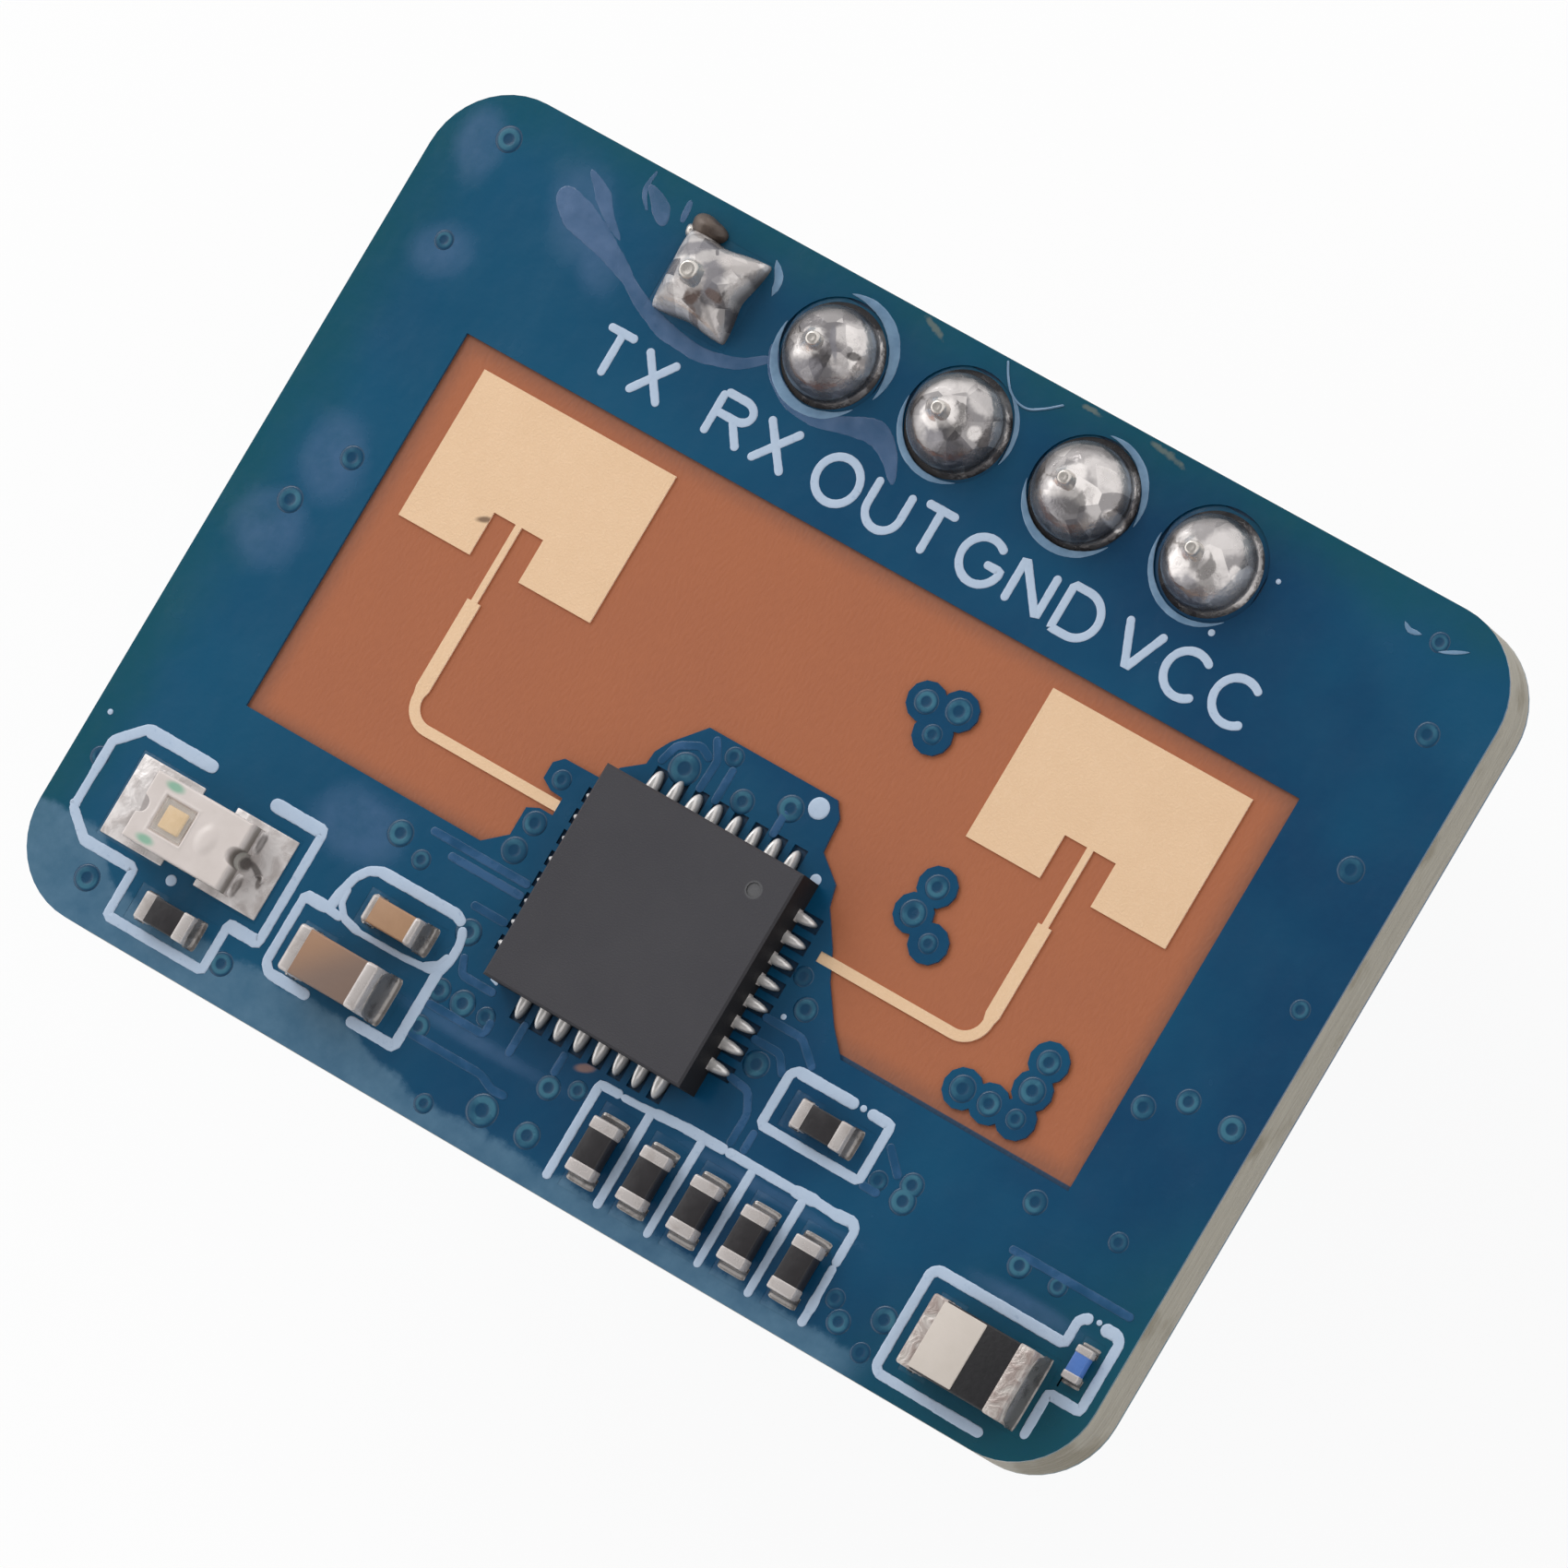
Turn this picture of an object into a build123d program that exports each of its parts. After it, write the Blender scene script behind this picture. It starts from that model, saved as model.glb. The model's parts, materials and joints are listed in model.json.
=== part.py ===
from build123d import *
from math import atan2, degrees
import os

# Microwave radar sensor module: a small two-antenna board on a five-pin header.
# Millimetres. The origin is on the middle pin, in the plane where the header's
# housing seats on the host board; +Z points out of the antenna side, and the pin
# row runs along X. Places on the board are given from the board's own centre.

# Board
board_length = 21.6
board_width = 15.7
board_corner = 1.5
laminate_thickness = 1.09
mask_thickness = 0.055
copper_thickness = 0.035
print_thickness = 0.02
mask_clearance = 0.05

# Pin header, soldered in from the back
pin_count = 5
pin_pitch = 2.54
pin_side = 0.64
pin_tip_chamfer = 0.14
pin_below_seat = 6.0
pin_above_face = 1.15
pin_row_inset = 1.36
housing_width = 2.5
housing_height = 2.5
housing_notch = 0.42
pin_hole = 1.1
pin_hole_sides = 16
pin_land = 1.9
square_land = 1.56

# Solder joints on the pins: a steep rim, and a shoulder that rises to the pin's sides
joint_shoulder_inset = 0.18
joint_shoulder_height = 0.30
joint_collar_height = 0.68
joint_collar_skin = 0.04

# Bare window in the solder mask
window_left = 8.43
window_right = 8.47
window_top = 3.87
window_bottom_left = 3.31
window_bottom_right = 3.47

# Patch antennas with an inset feed
patch_length = 3.97
patch_height = 2.80
patch_centre_y = 2.09
left_patch_x = 5.84
right_patch_x = 5.79
slot_width = 0.45
slot_depth = 0.81
narrow_feed = 0.12
wide_feed = 0.26
thin_feed = 0.19
wide_feed_top = 0.05
wide_feed_bottom = 1.75
feed_bend = 0.44
feed_end_x = 2.66

# Radar chip: a 4 mm leadless package with eight leads a side
chip_side = 4.0
chip_height = 0.80
chip_edge = 0.04
chip_x = 0.04
chip_y = -3.19
lead_pitch = 0.40
leads_per_side = 8
lead_width = 0.22
lead_length = 0.40
lead_height = 0.20
lead_reach = 0.37
thermal_pad = 2.60
chip_dot_radius = 0.13
chip_dot_sides = 12
chip_dot_inset = 0.62
chip_dot_depth = 0.02

# Islands of mask in the window: near-round pads of mask over vias
island_radius = 0.36
island_sides = 12
island_pitch = 0.53

# Status light: 0805 size
light_x = -7.93
light_y = -5.58
light_length = 2.0
light_width = 1.25
light_base_height = 0.22
light_height = 0.62
light_wrap = 0.30
light_notch = 0.16
light_land_reach = 0.62
light_land_under = 0.66
light_land_side = 0.12
cavity_x = -0.30
cavity_side = 0.62
cavity_depth = 0.10
die_side = 0.36
die_height = 0.08

# 0402 resistors
r0402_length = 1.0
r0402_width = 0.5
r0402_height = 0.35
r0402_wrap = 0.22
row_count = 5
row_pitch = 1.025
row_x = 3.07
row_y = -6.745
row_part_shift = 0.06
light_resistor_x = -7.60
light_resistor_y = -7.02
side_resistor_x = 4.33
side_resistor_y = -4.56

# 0201 resistor by the board's edge
r0201_length = 0.6
r0201_width = 0.3
r0201_height = 0.25
r0201_wrap = 0.13
edge_resistor_x = 10.19
edge_resistor_y = -5.80

# Ceramic capacitors: 0402 and 0603
c0402_height = 0.5
small_capacitor_x = -3.99
small_capacitor_y = -5.18
c0603_length = 1.6
c0603_width = 0.85
c0603_height = 0.8
c0603_wrap = 0.32
large_capacitor_x = -4.40
large_capacitor_y = -6.375
capacitor_edge = 0.05

# Diode in the supply line: 0805 body with a cathode band
diode_x = 8.68
diode_y = -6.60
diode_length = 2.0
diode_width = 1.28
diode_height = 0.8
diode_wrap = 0.28
diode_band = 0.79
diode_edge = 0.05

# End plating, lands and fillets of the two-ended parts
plating = 0.03
land_reach = 0.24
land_side = 0.03
small_land_reach = 0.12
diode_land_reach = 0.14
fillet_climb = 0.7

# Printed outlines: widths and clearances
line_width = 0.19
light_frame_above = 1.11
light_frame_below = 0.99
light_frame_left = 2.25
light_frame_right = 1.89
light_frame_bevel = 0.44
light_gap_left = -0.43
light_gap_right = 0.85
resistor_bay_left = 0.74
resistor_bay_right = 1.25
resistor_bay_drop = 1.90
cap_frame_left = 1.20
cap_frame_right = 1.02
cap_frame_above = 0.58
cap_frame_below = 0.41
cap_frame_corner = 0.40
large_frame_left = 1.34
large_frame_right = 1.35
large_frame_below = 0.565
large_gap_left = -0.40
large_gap_right = 0.42
row_frame_above = 1.05
row_frame_below = 0.80
side_frame_half_length = 0.99
side_frame_half_width = 0.53
side_frame_shift = 0.06
diode_frame_left = 1.53
diode_frame_above = 0.97
diode_frame_below = 0.95
diode_frame_gap = 0.67
edge_frame_left = 0.46
edge_frame_right = 0.38
edge_frame_above = 0.71
edge_frame_below = 0.64
edge_frame_step = 0.25
edge_frame_drop = 1.47
print_dot_radius = 0.19
print_dot_x = 1.35
print_dot_y = -0.10

# Levels up from the seat plane
pin_row_y = board_width / 2 - pin_row_inset
laminate_z = housing_height + mask_thickness
front_z = laminate_z + laminate_thickness
copper_z = front_z + copper_thickness
top_z = front_z + mask_thickness
first_pin_x = -pin_pitch * (pin_count - 1) / 2

os.makedirs("parts", exist_ok=True)


def level(height, x=0, y=0, turn=0):
    """A plane at a height, centred on a place given from the board's centre."""
    return Plane((x, y - pin_row_y, height)).rotated((0, 0, turn))


def upright(height, x=0, y=0, turn=0):
    """A plane that looks along a part's width, with the part's length to its right."""
    flat = level(height, x, y, turn)
    return Plane(flat.origin, x_dir=flat.x_dir, z_dir=-flat.y_dir)


def save(part, name):
    part.label = name
    export_step(part, f"parts/{name}.step")


def board_outline():
    with BuildSketch() as outline:
        RectangleRounded(board_length, board_width, board_corner)
    return outline.sketch_local


def pin_holes():
    """The drilled holes, drawn with few sides: the header and the solder hide them."""
    with BuildSketch() as holes:
        with Locations((0, pin_row_y)):
            with GridLocations(pin_pitch, 0, pin_count, 1):
                RegularPolygon(pin_hole / 2, pin_hole_sides)
    return holes.sketch_local


def pin_land_openings():
    """Openings for the round lands, and for the square one on the first pin."""
    with BuildSketch() as lands:
        with Locations((0, pin_row_y)):
            with GridLocations(pin_pitch, 0, pin_count, 1):
                Circle(pin_land / 2 + mask_clearance)
        with Locations((first_pin_x, pin_row_y)):
            Circle(pin_land / 2 + mask_clearance, mode=Mode.SUBTRACT)
            Rectangle(square_land + 2 * mask_clearance, square_land + 2 * mask_clearance)
    return lands.sketch_local


def land_pair(x, y, turn, length, width, wrap, reach, side, grow=0):
    """The two copper lands under a two-ended part."""
    land = wrap + reach
    centre = length / 2 - wrap + land / 2
    with BuildSketch() as lands:
        with Locations(Location((x, y, 0), (0, 0, turn))):
            with Locations((-centre, 0), (centre, 0)):
                Rectangle(land + 2 * grow, width + 2 * (side + grow))
    return lands.sketch_local


def part_lands(place, size, grow=0):
    length, width, _, wrap, reach, side = size
    return land_pair(*place, length, width, wrap, reach, side, grow)


def chip_lands(grow=0):
    """Lands under the chip's leads and its thermal pad."""
    land = lead_length + lead_reach
    row = chip_side / 2 + lead_reach - land / 2
    with BuildSketch() as lands:
        with Locations((chip_x, chip_y)):
            with PolarLocations(row, 4):
                with GridLocations(0, lead_pitch, 1, leads_per_side):
                    Rectangle(land + 2 * grow, lead_width + 2 * grow)
            Rectangle(thermal_pad + 2 * grow, thermal_pad + 2 * grow)
    return lands.sketch_local


# place (x, y, turn) and size (length, width, height, wrap, land reach, land side) of each part
row_places = [
    (row_x + row_part_shift + (number - (row_count - 1) / 2) * row_pitch, row_y, 90)
    for number in range(row_count)
]
r0402 = (r0402_length, r0402_width, r0402_height, r0402_wrap, land_reach, land_side)
r0201 = (r0201_length, r0201_width, r0201_height, r0201_wrap, small_land_reach, 0)
c0402 = (r0402_length, r0402_width, c0402_height, r0402_wrap, land_reach, land_side)
c0603 = (c0603_length, c0603_width, c0603_height, c0603_wrap, land_reach, land_side)
diode_size = (diode_length, diode_width, diode_height, diode_wrap, diode_land_reach, land_side)

resistors = {f"row_resistor_{number}": (place, r0402) for number, place in enumerate(row_places, 1)}
resistors["light_resistor"] = ((light_resistor_x, light_resistor_y, 0), r0402)
resistors["side_resistor"] = ((side_resistor_x, side_resistor_y, 0), r0402)
resistors["edge_resistor"] = ((edge_resistor_x, edge_resistor_y, 90), r0201)
capacitors = {
    "small_capacitor": ((small_capacitor_x, small_capacitor_y, 0), c0402),
    "large_capacitor": ((large_capacitor_x, large_capacitor_y, 0), c0603),
}
diode_place = (diode_x, diode_y, 0)
two_ended = {**resistors, **capacitors, "diode": (diode_place, diode_size)}


def light_lands(grow=0):
    sizes = (light_length, light_width, light_land_under, light_land_reach, light_land_side)
    return land_pair(light_x, light_y, 0, *sizes, grow)


def via_corner(count_left, count_up, x, y):
    """Centres of the mask islands that run left and up from a corner."""
    left = [(x - island_pitch * step, y) for step in range(count_left)]
    return left + [(x, y + island_pitch * step) for step in range(1, count_up)]


# The mask round the chip, left standing in the window: its outline from the chip's centre
chip_island = [
    (-4.16, -0.60), (-3.18, 0.21), (-3.18, 0.73), (-2.96, 0.83), (-2.70, 0.83), (-2.70, 1.15),
    (-2.96, 1.17), (-3.18, 1.29), (-3.18, 1.59), (-3.02, 1.74), (-2.29, 1.75), (-2.09, 2.06),
    (-1.73, 2.33), (-1.71, 2.57), (-1.56, 2.83), (-1.08, 3.36), (1.52, 3.36), (1.71, 3.11),
    (1.76, 2.51), (2.24, 2.15), (2.34, 1.79), (2.76, 1.22), (3.02, 0.73), (3.48, 0.13),
    (4.19, -0.60),
]
via_islands = (
    [(2.02, 2.28), (2.60, 2.40), (2.40, 1.86)]
    + [(3.84, -0.26), (3.71, -0.82), (4.20, -1.13)]
    + via_corner(3, 3, 7.06, -2.89)
)


def bare_window():
    """The opening in the mask round both antennas, less the islands that stay covered."""
    with BuildSketch() as island:
        with BuildLine():
            Polyline(*chip_island, close=True)
        make_face()
    with BuildSketch() as window:
        with BuildLine():
            Polyline(
                (-window_left, -window_bottom_left), (-window_left, window_top),
                (window_right, window_top), (window_right, -window_bottom_right),
                (chip_x, -window_bottom_right), (chip_x, -window_bottom_left), close=True,
            )
        make_face()
        with Locations((chip_x, chip_y)):
            add(island.sketch_local, mode=Mode.SUBTRACT)
        with Locations(*via_islands):
            RegularPolygon(island_radius, island_sides, mode=Mode.SUBTRACT)
    return window.sketch_local


def antenna(centre_x, toward):
    """A patch with its inset feed line, which turns toward the chip."""
    bottom = patch_centre_y - patch_height / 2
    narrow_length = bottom + slot_depth - wide_feed_top
    taper_y = -wide_feed_bottom + wide_feed / 2
    feed_y = -wide_feed_bottom - feed_bend
    bend_x = centre_x + toward * feed_bend
    end_x = -toward * feed_end_x
    near = centre_x + toward * wide_feed / 2
    far = centre_x - toward * wide_feed / 2
    outer = feed_bend + thin_feed / 2
    inner = feed_bend - thin_feed / 2
    outer_start = (bend_x - toward * outer, -wide_feed_bottom)
    outer_stop = (bend_x, feed_y - thin_feed / 2)
    inner_start = (bend_x, feed_y + thin_feed / 2)
    inner_stop = (bend_x - toward * inner, -wide_feed_bottom)
    with BuildSketch() as foil:
        with Locations((centre_x, patch_centre_y)):
            Rectangle(patch_length, patch_height)
        with Locations((centre_x, bottom + slot_depth / 2)):
            with GridLocations(narrow_feed + slot_width, 0, 2, 1):
                Rectangle(slot_width, slot_depth, mode=Mode.SUBTRACT)
        with Locations((centre_x, wide_feed_top + narrow_length / 2)):
            Rectangle(narrow_feed, narrow_length)
        with BuildLine():
            Polyline((near, wide_feed_top), (far, wide_feed_top), (far, taper_y), outer_start)
            RadiusArc(outer_start, outer_stop, -toward * outer)
            Polyline(
                outer_stop, (end_x, feed_y - thin_feed / 2),
                (end_x, feed_y + thin_feed / 2), inner_start,
            )
            RadiusArc(inner_start, inner_stop, toward * inner)
            Polyline(inner_stop, (near, taper_y), (near, wide_feed_top))
        make_face()
    return foil.sketch_local


# Laminate with the five pin holes
with BuildPart() as board_laminate:
    with BuildSketch(level(laminate_z)):
        add(board_outline())
        add(pin_holes(), mode=Mode.SUBTRACT)
    extrude(amount=laminate_thickness)
save(board_laminate.part, "board_laminate")

# Both antennas, etched and gold-plated on the bare laminate
with BuildPart() as left_antenna:
    with BuildSketch(level(front_z)):
        add(antenna(-left_patch_x, 1))
    extrude(amount=copper_thickness)
save(left_antenna.part, "left_antenna")

with BuildPart() as right_antenna:
    with BuildSketch(level(front_z)):
        add(antenna(right_patch_x, -1))
    extrude(amount=copper_thickness)
save(right_antenna.part, "right_antenna")

# Solder mask: the front skin is open at the window and at every land
with BuildPart() as front_mask:
    with BuildSketch(level(front_z)):
        add(board_outline())
        add(bare_window(), mode=Mode.SUBTRACT)
        add(antenna(-left_patch_x, 1), mode=Mode.SUBTRACT)
        add(antenna(right_patch_x, -1), mode=Mode.SUBTRACT)
        add(pin_land_openings(), mode=Mode.SUBTRACT)
        add(chip_lands(mask_clearance / 2), mode=Mode.SUBTRACT)
        add(light_lands(mask_clearance), mode=Mode.SUBTRACT)
        for place, size in two_ended.values():
            add(part_lands(place, size, mask_clearance), mode=Mode.SUBTRACT)
    extrude(amount=mask_thickness)
save(front_mask.part, "front_mask")

with BuildPart() as back_mask:
    with BuildSketch(level(housing_height)):
        add(board_outline())
        add(pin_holes(), mode=Mode.SUBTRACT)
    extrude(amount=mask_thickness)
save(back_mask.part, "back_mask")


def housing_block():
    with BuildSketch() as block:
        Rectangle(pin_pitch, housing_width)
        chamfer(block.vertices(), housing_notch)
    return block.sketch_local


# Header: a row of housing blocks with V notches between them, and square pins
with BuildPart() as header_housing:
    with BuildSketch(level(0, y=pin_row_y)):
        with GridLocations(pin_pitch, 0, pin_count, 1):
            add(housing_block())
            Rectangle(pin_side, pin_side, mode=Mode.SUBTRACT)
    extrude(amount=housing_height)
save(header_housing.part, "header_housing")

pin_length = pin_below_seat + top_z + pin_above_face
for number in range(1, pin_count + 1):
    pin_x = first_pin_x + (number - 1) * pin_pitch
    with BuildPart() as pin:
        with BuildSketch(level(-pin_below_seat, pin_x, pin_row_y)):
            Rectangle(pin_side, pin_side)
        extrude(amount=pin_length)
        chamfer(pin.edges().group_by(Axis.Z)[0], pin_tip_chamfer)
        chamfer(pin.edges().group_by(Axis.Z)[-1], pin_tip_chamfer)
    save(pin.part, f"header_pin_{number}")

# Plated holes, filled with solder round the pins
with BuildPart() as plated_holes:
    with BuildSketch(level(laminate_z)):
        add(pin_holes())
        with Locations((0, pin_row_y)):
            with GridLocations(pin_pitch, 0, pin_count, 1):
                Rectangle(pin_side, pin_side, mode=Mode.SUBTRACT)
    extrude(amount=laminate_thickness)
save(plated_holes.part, "plated_holes")


def joint_profile(rim):
    """Half section of a solder joint with its land: rim, shoulder and collar."""
    collar_z = top_z + joint_collar_height
    with BuildSketch() as profile:
        with BuildLine():
            Polyline(
                (0, collar_z), (0, front_z), (rim, front_z),
                (rim - joint_shoulder_inset, top_z + joint_shoulder_height),
                (pin_side / 2 + joint_collar_skin, collar_z), close=True,
            )
        make_face()
    return profile.sketch_local


# Solder joints, in one with their lands: the first is four-sided, the others are turned
for number in range(1, pin_count + 1):
    pin_x = first_pin_x + (number - 1) * pin_pitch
    front = Plane((pin_x, 0, 0), x_dir=(1, 0, 0), z_dir=(0, -1, 0))
    side = Plane((pin_x, 0, 0), x_dir=(0, 1, 0), z_dir=(1, 0, 0))
    with BuildPart() as joint:
        if number == 1:
            with BuildSketch(front):
                add(joint_profile(square_land / 2))
                mirror(about=Plane.YZ)
            extrude(amount=square_land / 2, both=True)
            with BuildSketch(side):
                add(joint_profile(square_land / 2))
                mirror(about=Plane.YZ)
            extrude(amount=square_land / 2, both=True, mode=Mode.INTERSECT)
        else:
            with BuildSketch(front):
                add(joint_profile(pin_land / 2))
            revolve(axis=Axis((pin_x, 0, 0), (0, 0, 1)))
        with BuildSketch(level(front_z, pin_x, pin_row_y)):
            Rectangle(pin_side, pin_side)
        extrude(amount=mask_thickness + pin_above_face, mode=Mode.SUBTRACT)
    save(joint.part, f"pin_solder_{number}")

# Copper lands under the light and every two-ended part
with BuildPart() as part_land_copper:
    with BuildSketch(level(front_z)):
        add(light_lands())
        for place, size in two_ended.values():
            add(part_lands(place, size))
    extrude(amount=copper_thickness)
save(part_land_copper.part, "part_lands")


def lead_slots():
    """The leads and the thermal pad in the chip's underside."""
    with BuildSketch() as slots:
        with PolarLocations(chip_side / 2 - lead_length / 2, 4):
            with GridLocations(0, lead_pitch, 1, leads_per_side):
                Rectangle(lead_length, lead_width)
    return slots.sketch_local


# Radar chip: a moulded body, with leads and a thermal pad flush with its underside
with BuildPart() as chip_body:
    with BuildSketch(level(top_z, chip_x, chip_y)):
        Rectangle(chip_side, chip_side)
    extrude(amount=chip_height)
    chamfer(chip_body.faces().sort_by(Axis.Z)[-1].edges(), chip_edge)
    dot = chip_side / 2 - chip_dot_inset
    with BuildSketch(level(top_z + chip_height, chip_x + dot, chip_y + dot)):
        RegularPolygon(chip_dot_radius, chip_dot_sides)
    extrude(amount=-chip_dot_depth, mode=Mode.SUBTRACT)
    with BuildSketch(level(top_z, chip_x, chip_y)):
        add(lead_slots())
        Rectangle(thermal_pad, thermal_pad)
    extrude(amount=lead_height, mode=Mode.SUBTRACT)
save(chip_body.part, "chip_body")

with BuildPart() as chip_leads:
    with BuildSketch(level(top_z, chip_x, chip_y)):
        add(lead_slots())
    extrude(amount=lead_height)
save(chip_leads.part, "chip_leads")

with BuildPart() as chip_thermal_pad:
    with BuildSketch(level(top_z, chip_x, chip_y)):
        Rectangle(thermal_pad, thermal_pad)
    extrude(amount=lead_height)
save(chip_thermal_pad.part, "chip_thermal_pad")


def solder_profile(inner, edge, outer, climb, foot=copper_z):
    """Section of a solder fillet, from under a terminal to the outer end of its land."""
    with BuildSketch() as profile:
        with BuildLine():
            Polyline(
                (edge, top_z + climb), (edge, top_z), (inner, top_z), (inner, foot),
                (outer, foot), close=True,
            )
        make_face()
    return profile.sketch_local


# Chip solder, in one with its lands: a fillet up the end of each lead, and the thermal pad's film
with BuildPart() as chip_solder:
    for quarter in range(4):
        flat = level(0, chip_x, chip_y, 90 * quarter)
        for number in range(leads_per_side):
            along = (number - (leads_per_side - 1) / 2) * lead_pitch
            start = flat.origin + flat.y_dir * along
            with BuildSketch(Plane(start, x_dir=flat.x_dir, z_dir=-flat.y_dir)):
                half = chip_side / 2
                add(solder_profile(half - lead_length, half, half + lead_reach, lead_height, front_z))
            extrude(amount=lead_width / 2, both=True)
    with BuildSketch(level(front_z, chip_x, chip_y)):
        Rectangle(thermal_pad, thermal_pad)
    extrude(amount=mask_thickness)
save(chip_solder.part, "chip_solder")


def fillets(size):
    """Both solder fillets of a two-ended part, in its own upright plane."""
    length, _, height, wrap, reach, _ = size
    with BuildSketch() as pair:
        add(solder_profile(length / 2 - wrap, length / 2, length / 2 + reach, fillet_climb * height))
        mirror(about=Plane.YZ)
    return pair.sketch_local


def solder_node(name, parts):
    with BuildPart() as solder:
        for place, size in parts:
            with BuildSketch(upright(0, *place)):
                add(fillets(size))
            extrude(amount=size[1] / 2 + size[5], both=True)
    save(solder.part, name)


def wrap_profile(length, height, wrap):
    """Side view of two C-shaped end platings round a body."""
    with BuildSketch() as ends:
        with Locations((0, top_z + height / 2)):
            Rectangle(length, height)
            Rectangle(length - 2 * plating, height - 2 * plating, mode=Mode.SUBTRACT)
            Rectangle(length - 2 * wrap, height, mode=Mode.SUBTRACT)
    return ends.sketch_local


def resistor(name, place, size):
    """A ceramic chip with its top coat, between two C-shaped ends."""
    length, width, height, wrap = size[:4]
    with BuildPart() as body:
        with BuildSketch(upright(0, *place)):
            with Locations((0, top_z + height / 2)):
                Rectangle(length - 2 * plating, height - 2 * plating)
                Rectangle(length - 2 * wrap, height)
        extrude(amount=width / 2, both=True)
    save(body.part, f"{name}_body")
    with BuildPart() as ends:
        with BuildSketch(upright(0, *place)):
            add(wrap_profile(length, height, wrap))
        extrude(amount=width / 2, both=True)
    save(ends.part, f"{name}_ends")


def capped_body(name, place, size, edge):
    """A block dipped into a cap with bevelled edges at each end."""
    length, width, height, wrap = size[:4]
    x, y, turn = place
    with BuildPart() as body:
        with BuildSketch(level(top_z + plating, x, y, turn)):
            Rectangle(length - 2 * plating, width - 2 * plating)
        extrude(amount=height - 2 * plating)
    save(body.part, f"{name}_body")
    with BuildPart() as ends:
        with BuildSketch(level(top_z, x, y, turn)):
            Rectangle(length, width)
        extrude(amount=height)
        chamfer(ends.edges(), edge)
        with BuildSketch(level(top_z, x, y, turn)):
            Rectangle(length - 2 * wrap, width)
        extrude(amount=height, mode=Mode.SUBTRACT)
        add(body.part, mode=Mode.SUBTRACT)
    save(ends.part, f"{name}_ends")


for name, (place, size) in resistors.items():
    resistor(name, place, size)
for name, (place, size) in capacitors.items():
    capped_body(name, place, size, capacitor_edge)
capped_body("diode", diode_place, diode_size, diode_edge)

# Cathode band: a printed plate on the diode's top, from one end cap to mid-body
with BuildPart() as cathode_band:
    band_x = diode_x - diode_length / 2 + diode_wrap + diode_band / 2
    with BuildSketch(level(top_z + diode_height - plating, band_x, diode_y)):
        Rectangle(diode_band, diode_width - 2 * plating)
    extrude(amount=plating)
save(cathode_band.part, "diode_band")

solder_node("resistor_solder", resistors.values())
solder_node("capacitor_solder", capacitors.values())
solder_node("diode_solder", [(diode_place, diode_size)])

# Status light: a thin base with notched, plated ends under a white housing
base_top_z = top_z + light_base_height
light_top_z = top_z + light_height


def light_outline(length):
    """The light in plan, with a half-round notch in each end."""
    with BuildSketch() as outline:
        Rectangle(length, light_width)
        with Locations((-light_length / 2, 0), (light_length / 2, 0)):
            Circle(light_notch, mode=Mode.SUBTRACT)
    return outline.sketch_local


with BuildPart() as light_ends:
    with BuildSketch(upright(0, light_x, light_y)):
        add(wrap_profile(light_length, light_base_height, light_wrap))
    extrude(amount=light_width / 2, both=True)
    with BuildSketch(level(top_z, light_x, light_y)):
        with Locations((-light_length / 2, 0), (light_length / 2, 0)):
            Circle(light_notch)
    extrude(amount=light_base_height, mode=Mode.SUBTRACT)
save(light_ends.part, "light_ends")

with BuildPart() as light_base:
    with BuildSketch(level(top_z, light_x, light_y)):
        add(light_outline(light_length))
    extrude(amount=light_base_height)
    add(light_ends.part, mode=Mode.SUBTRACT)
save(light_base.part, "light_base")

with BuildPart() as light_housing:
    with BuildSketch(level(base_top_z, light_x, light_y)):
        add(light_outline(light_length))
    extrude(amount=light_height - light_base_height)
    with BuildSketch(level(light_top_z, light_x + cavity_x, light_y)):
        Rectangle(cavity_side, cavity_side)
    extrude(amount=-cavity_depth, mode=Mode.SUBTRACT)
save(light_housing.part, "light_housing")

with BuildPart() as light_die:
    with BuildSketch(level(light_top_z - cavity_depth, light_x + cavity_x, light_y)):
        Rectangle(die_side, die_side)
    extrude(amount=die_height)
save(light_die.part, "light_die")

with BuildPart() as light_window:
    with BuildSketch(level(light_top_z - cavity_depth, light_x + cavity_x, light_y)):
        Rectangle(cavity_side, cavity_side)
    extrude(amount=cavity_depth)
    add(light_die.part, mode=Mode.SUBTRACT)
save(light_window.part, "light_window")

with BuildPart() as light_solder:
    with BuildSketch(upright(0, light_x, light_y)):
        half = light_length / 2
        add(solder_profile(half - light_land_under, half, half + light_land_reach, light_base_height))
        mirror(about=Plane.YZ)
    extrude(amount=light_width / 2 + light_land_side, both=True)
save(light_solder.part, "light_solder")


def stroke(*points):
    """A printed line through points, with square ends and corners."""
    with BuildSketch() as line:
        for start, stop in zip(points, points[1:]):
            run = Vector(*stop) - Vector(*start)
            with Locations(Vector(*start) + run / 2):
                Rectangle(run.length + line_width, line_width, rotation=degrees(atan2(run.Y, run.X)))
    return line.sketch_local


def frame_ring(x, y, length, width, corner):
    """A closed printed frame with round corners, on its centre line."""
    half = line_width / 2
    with BuildSketch() as ring:
        with Locations((x, y)):
            RectangleRounded(length + 2 * half, width + 2 * half, corner + half)
            RectangleRounded(length - 2 * half, width - 2 * half, corner - half, mode=Mode.SUBTRACT)
    return ring.sketch_local


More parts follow.
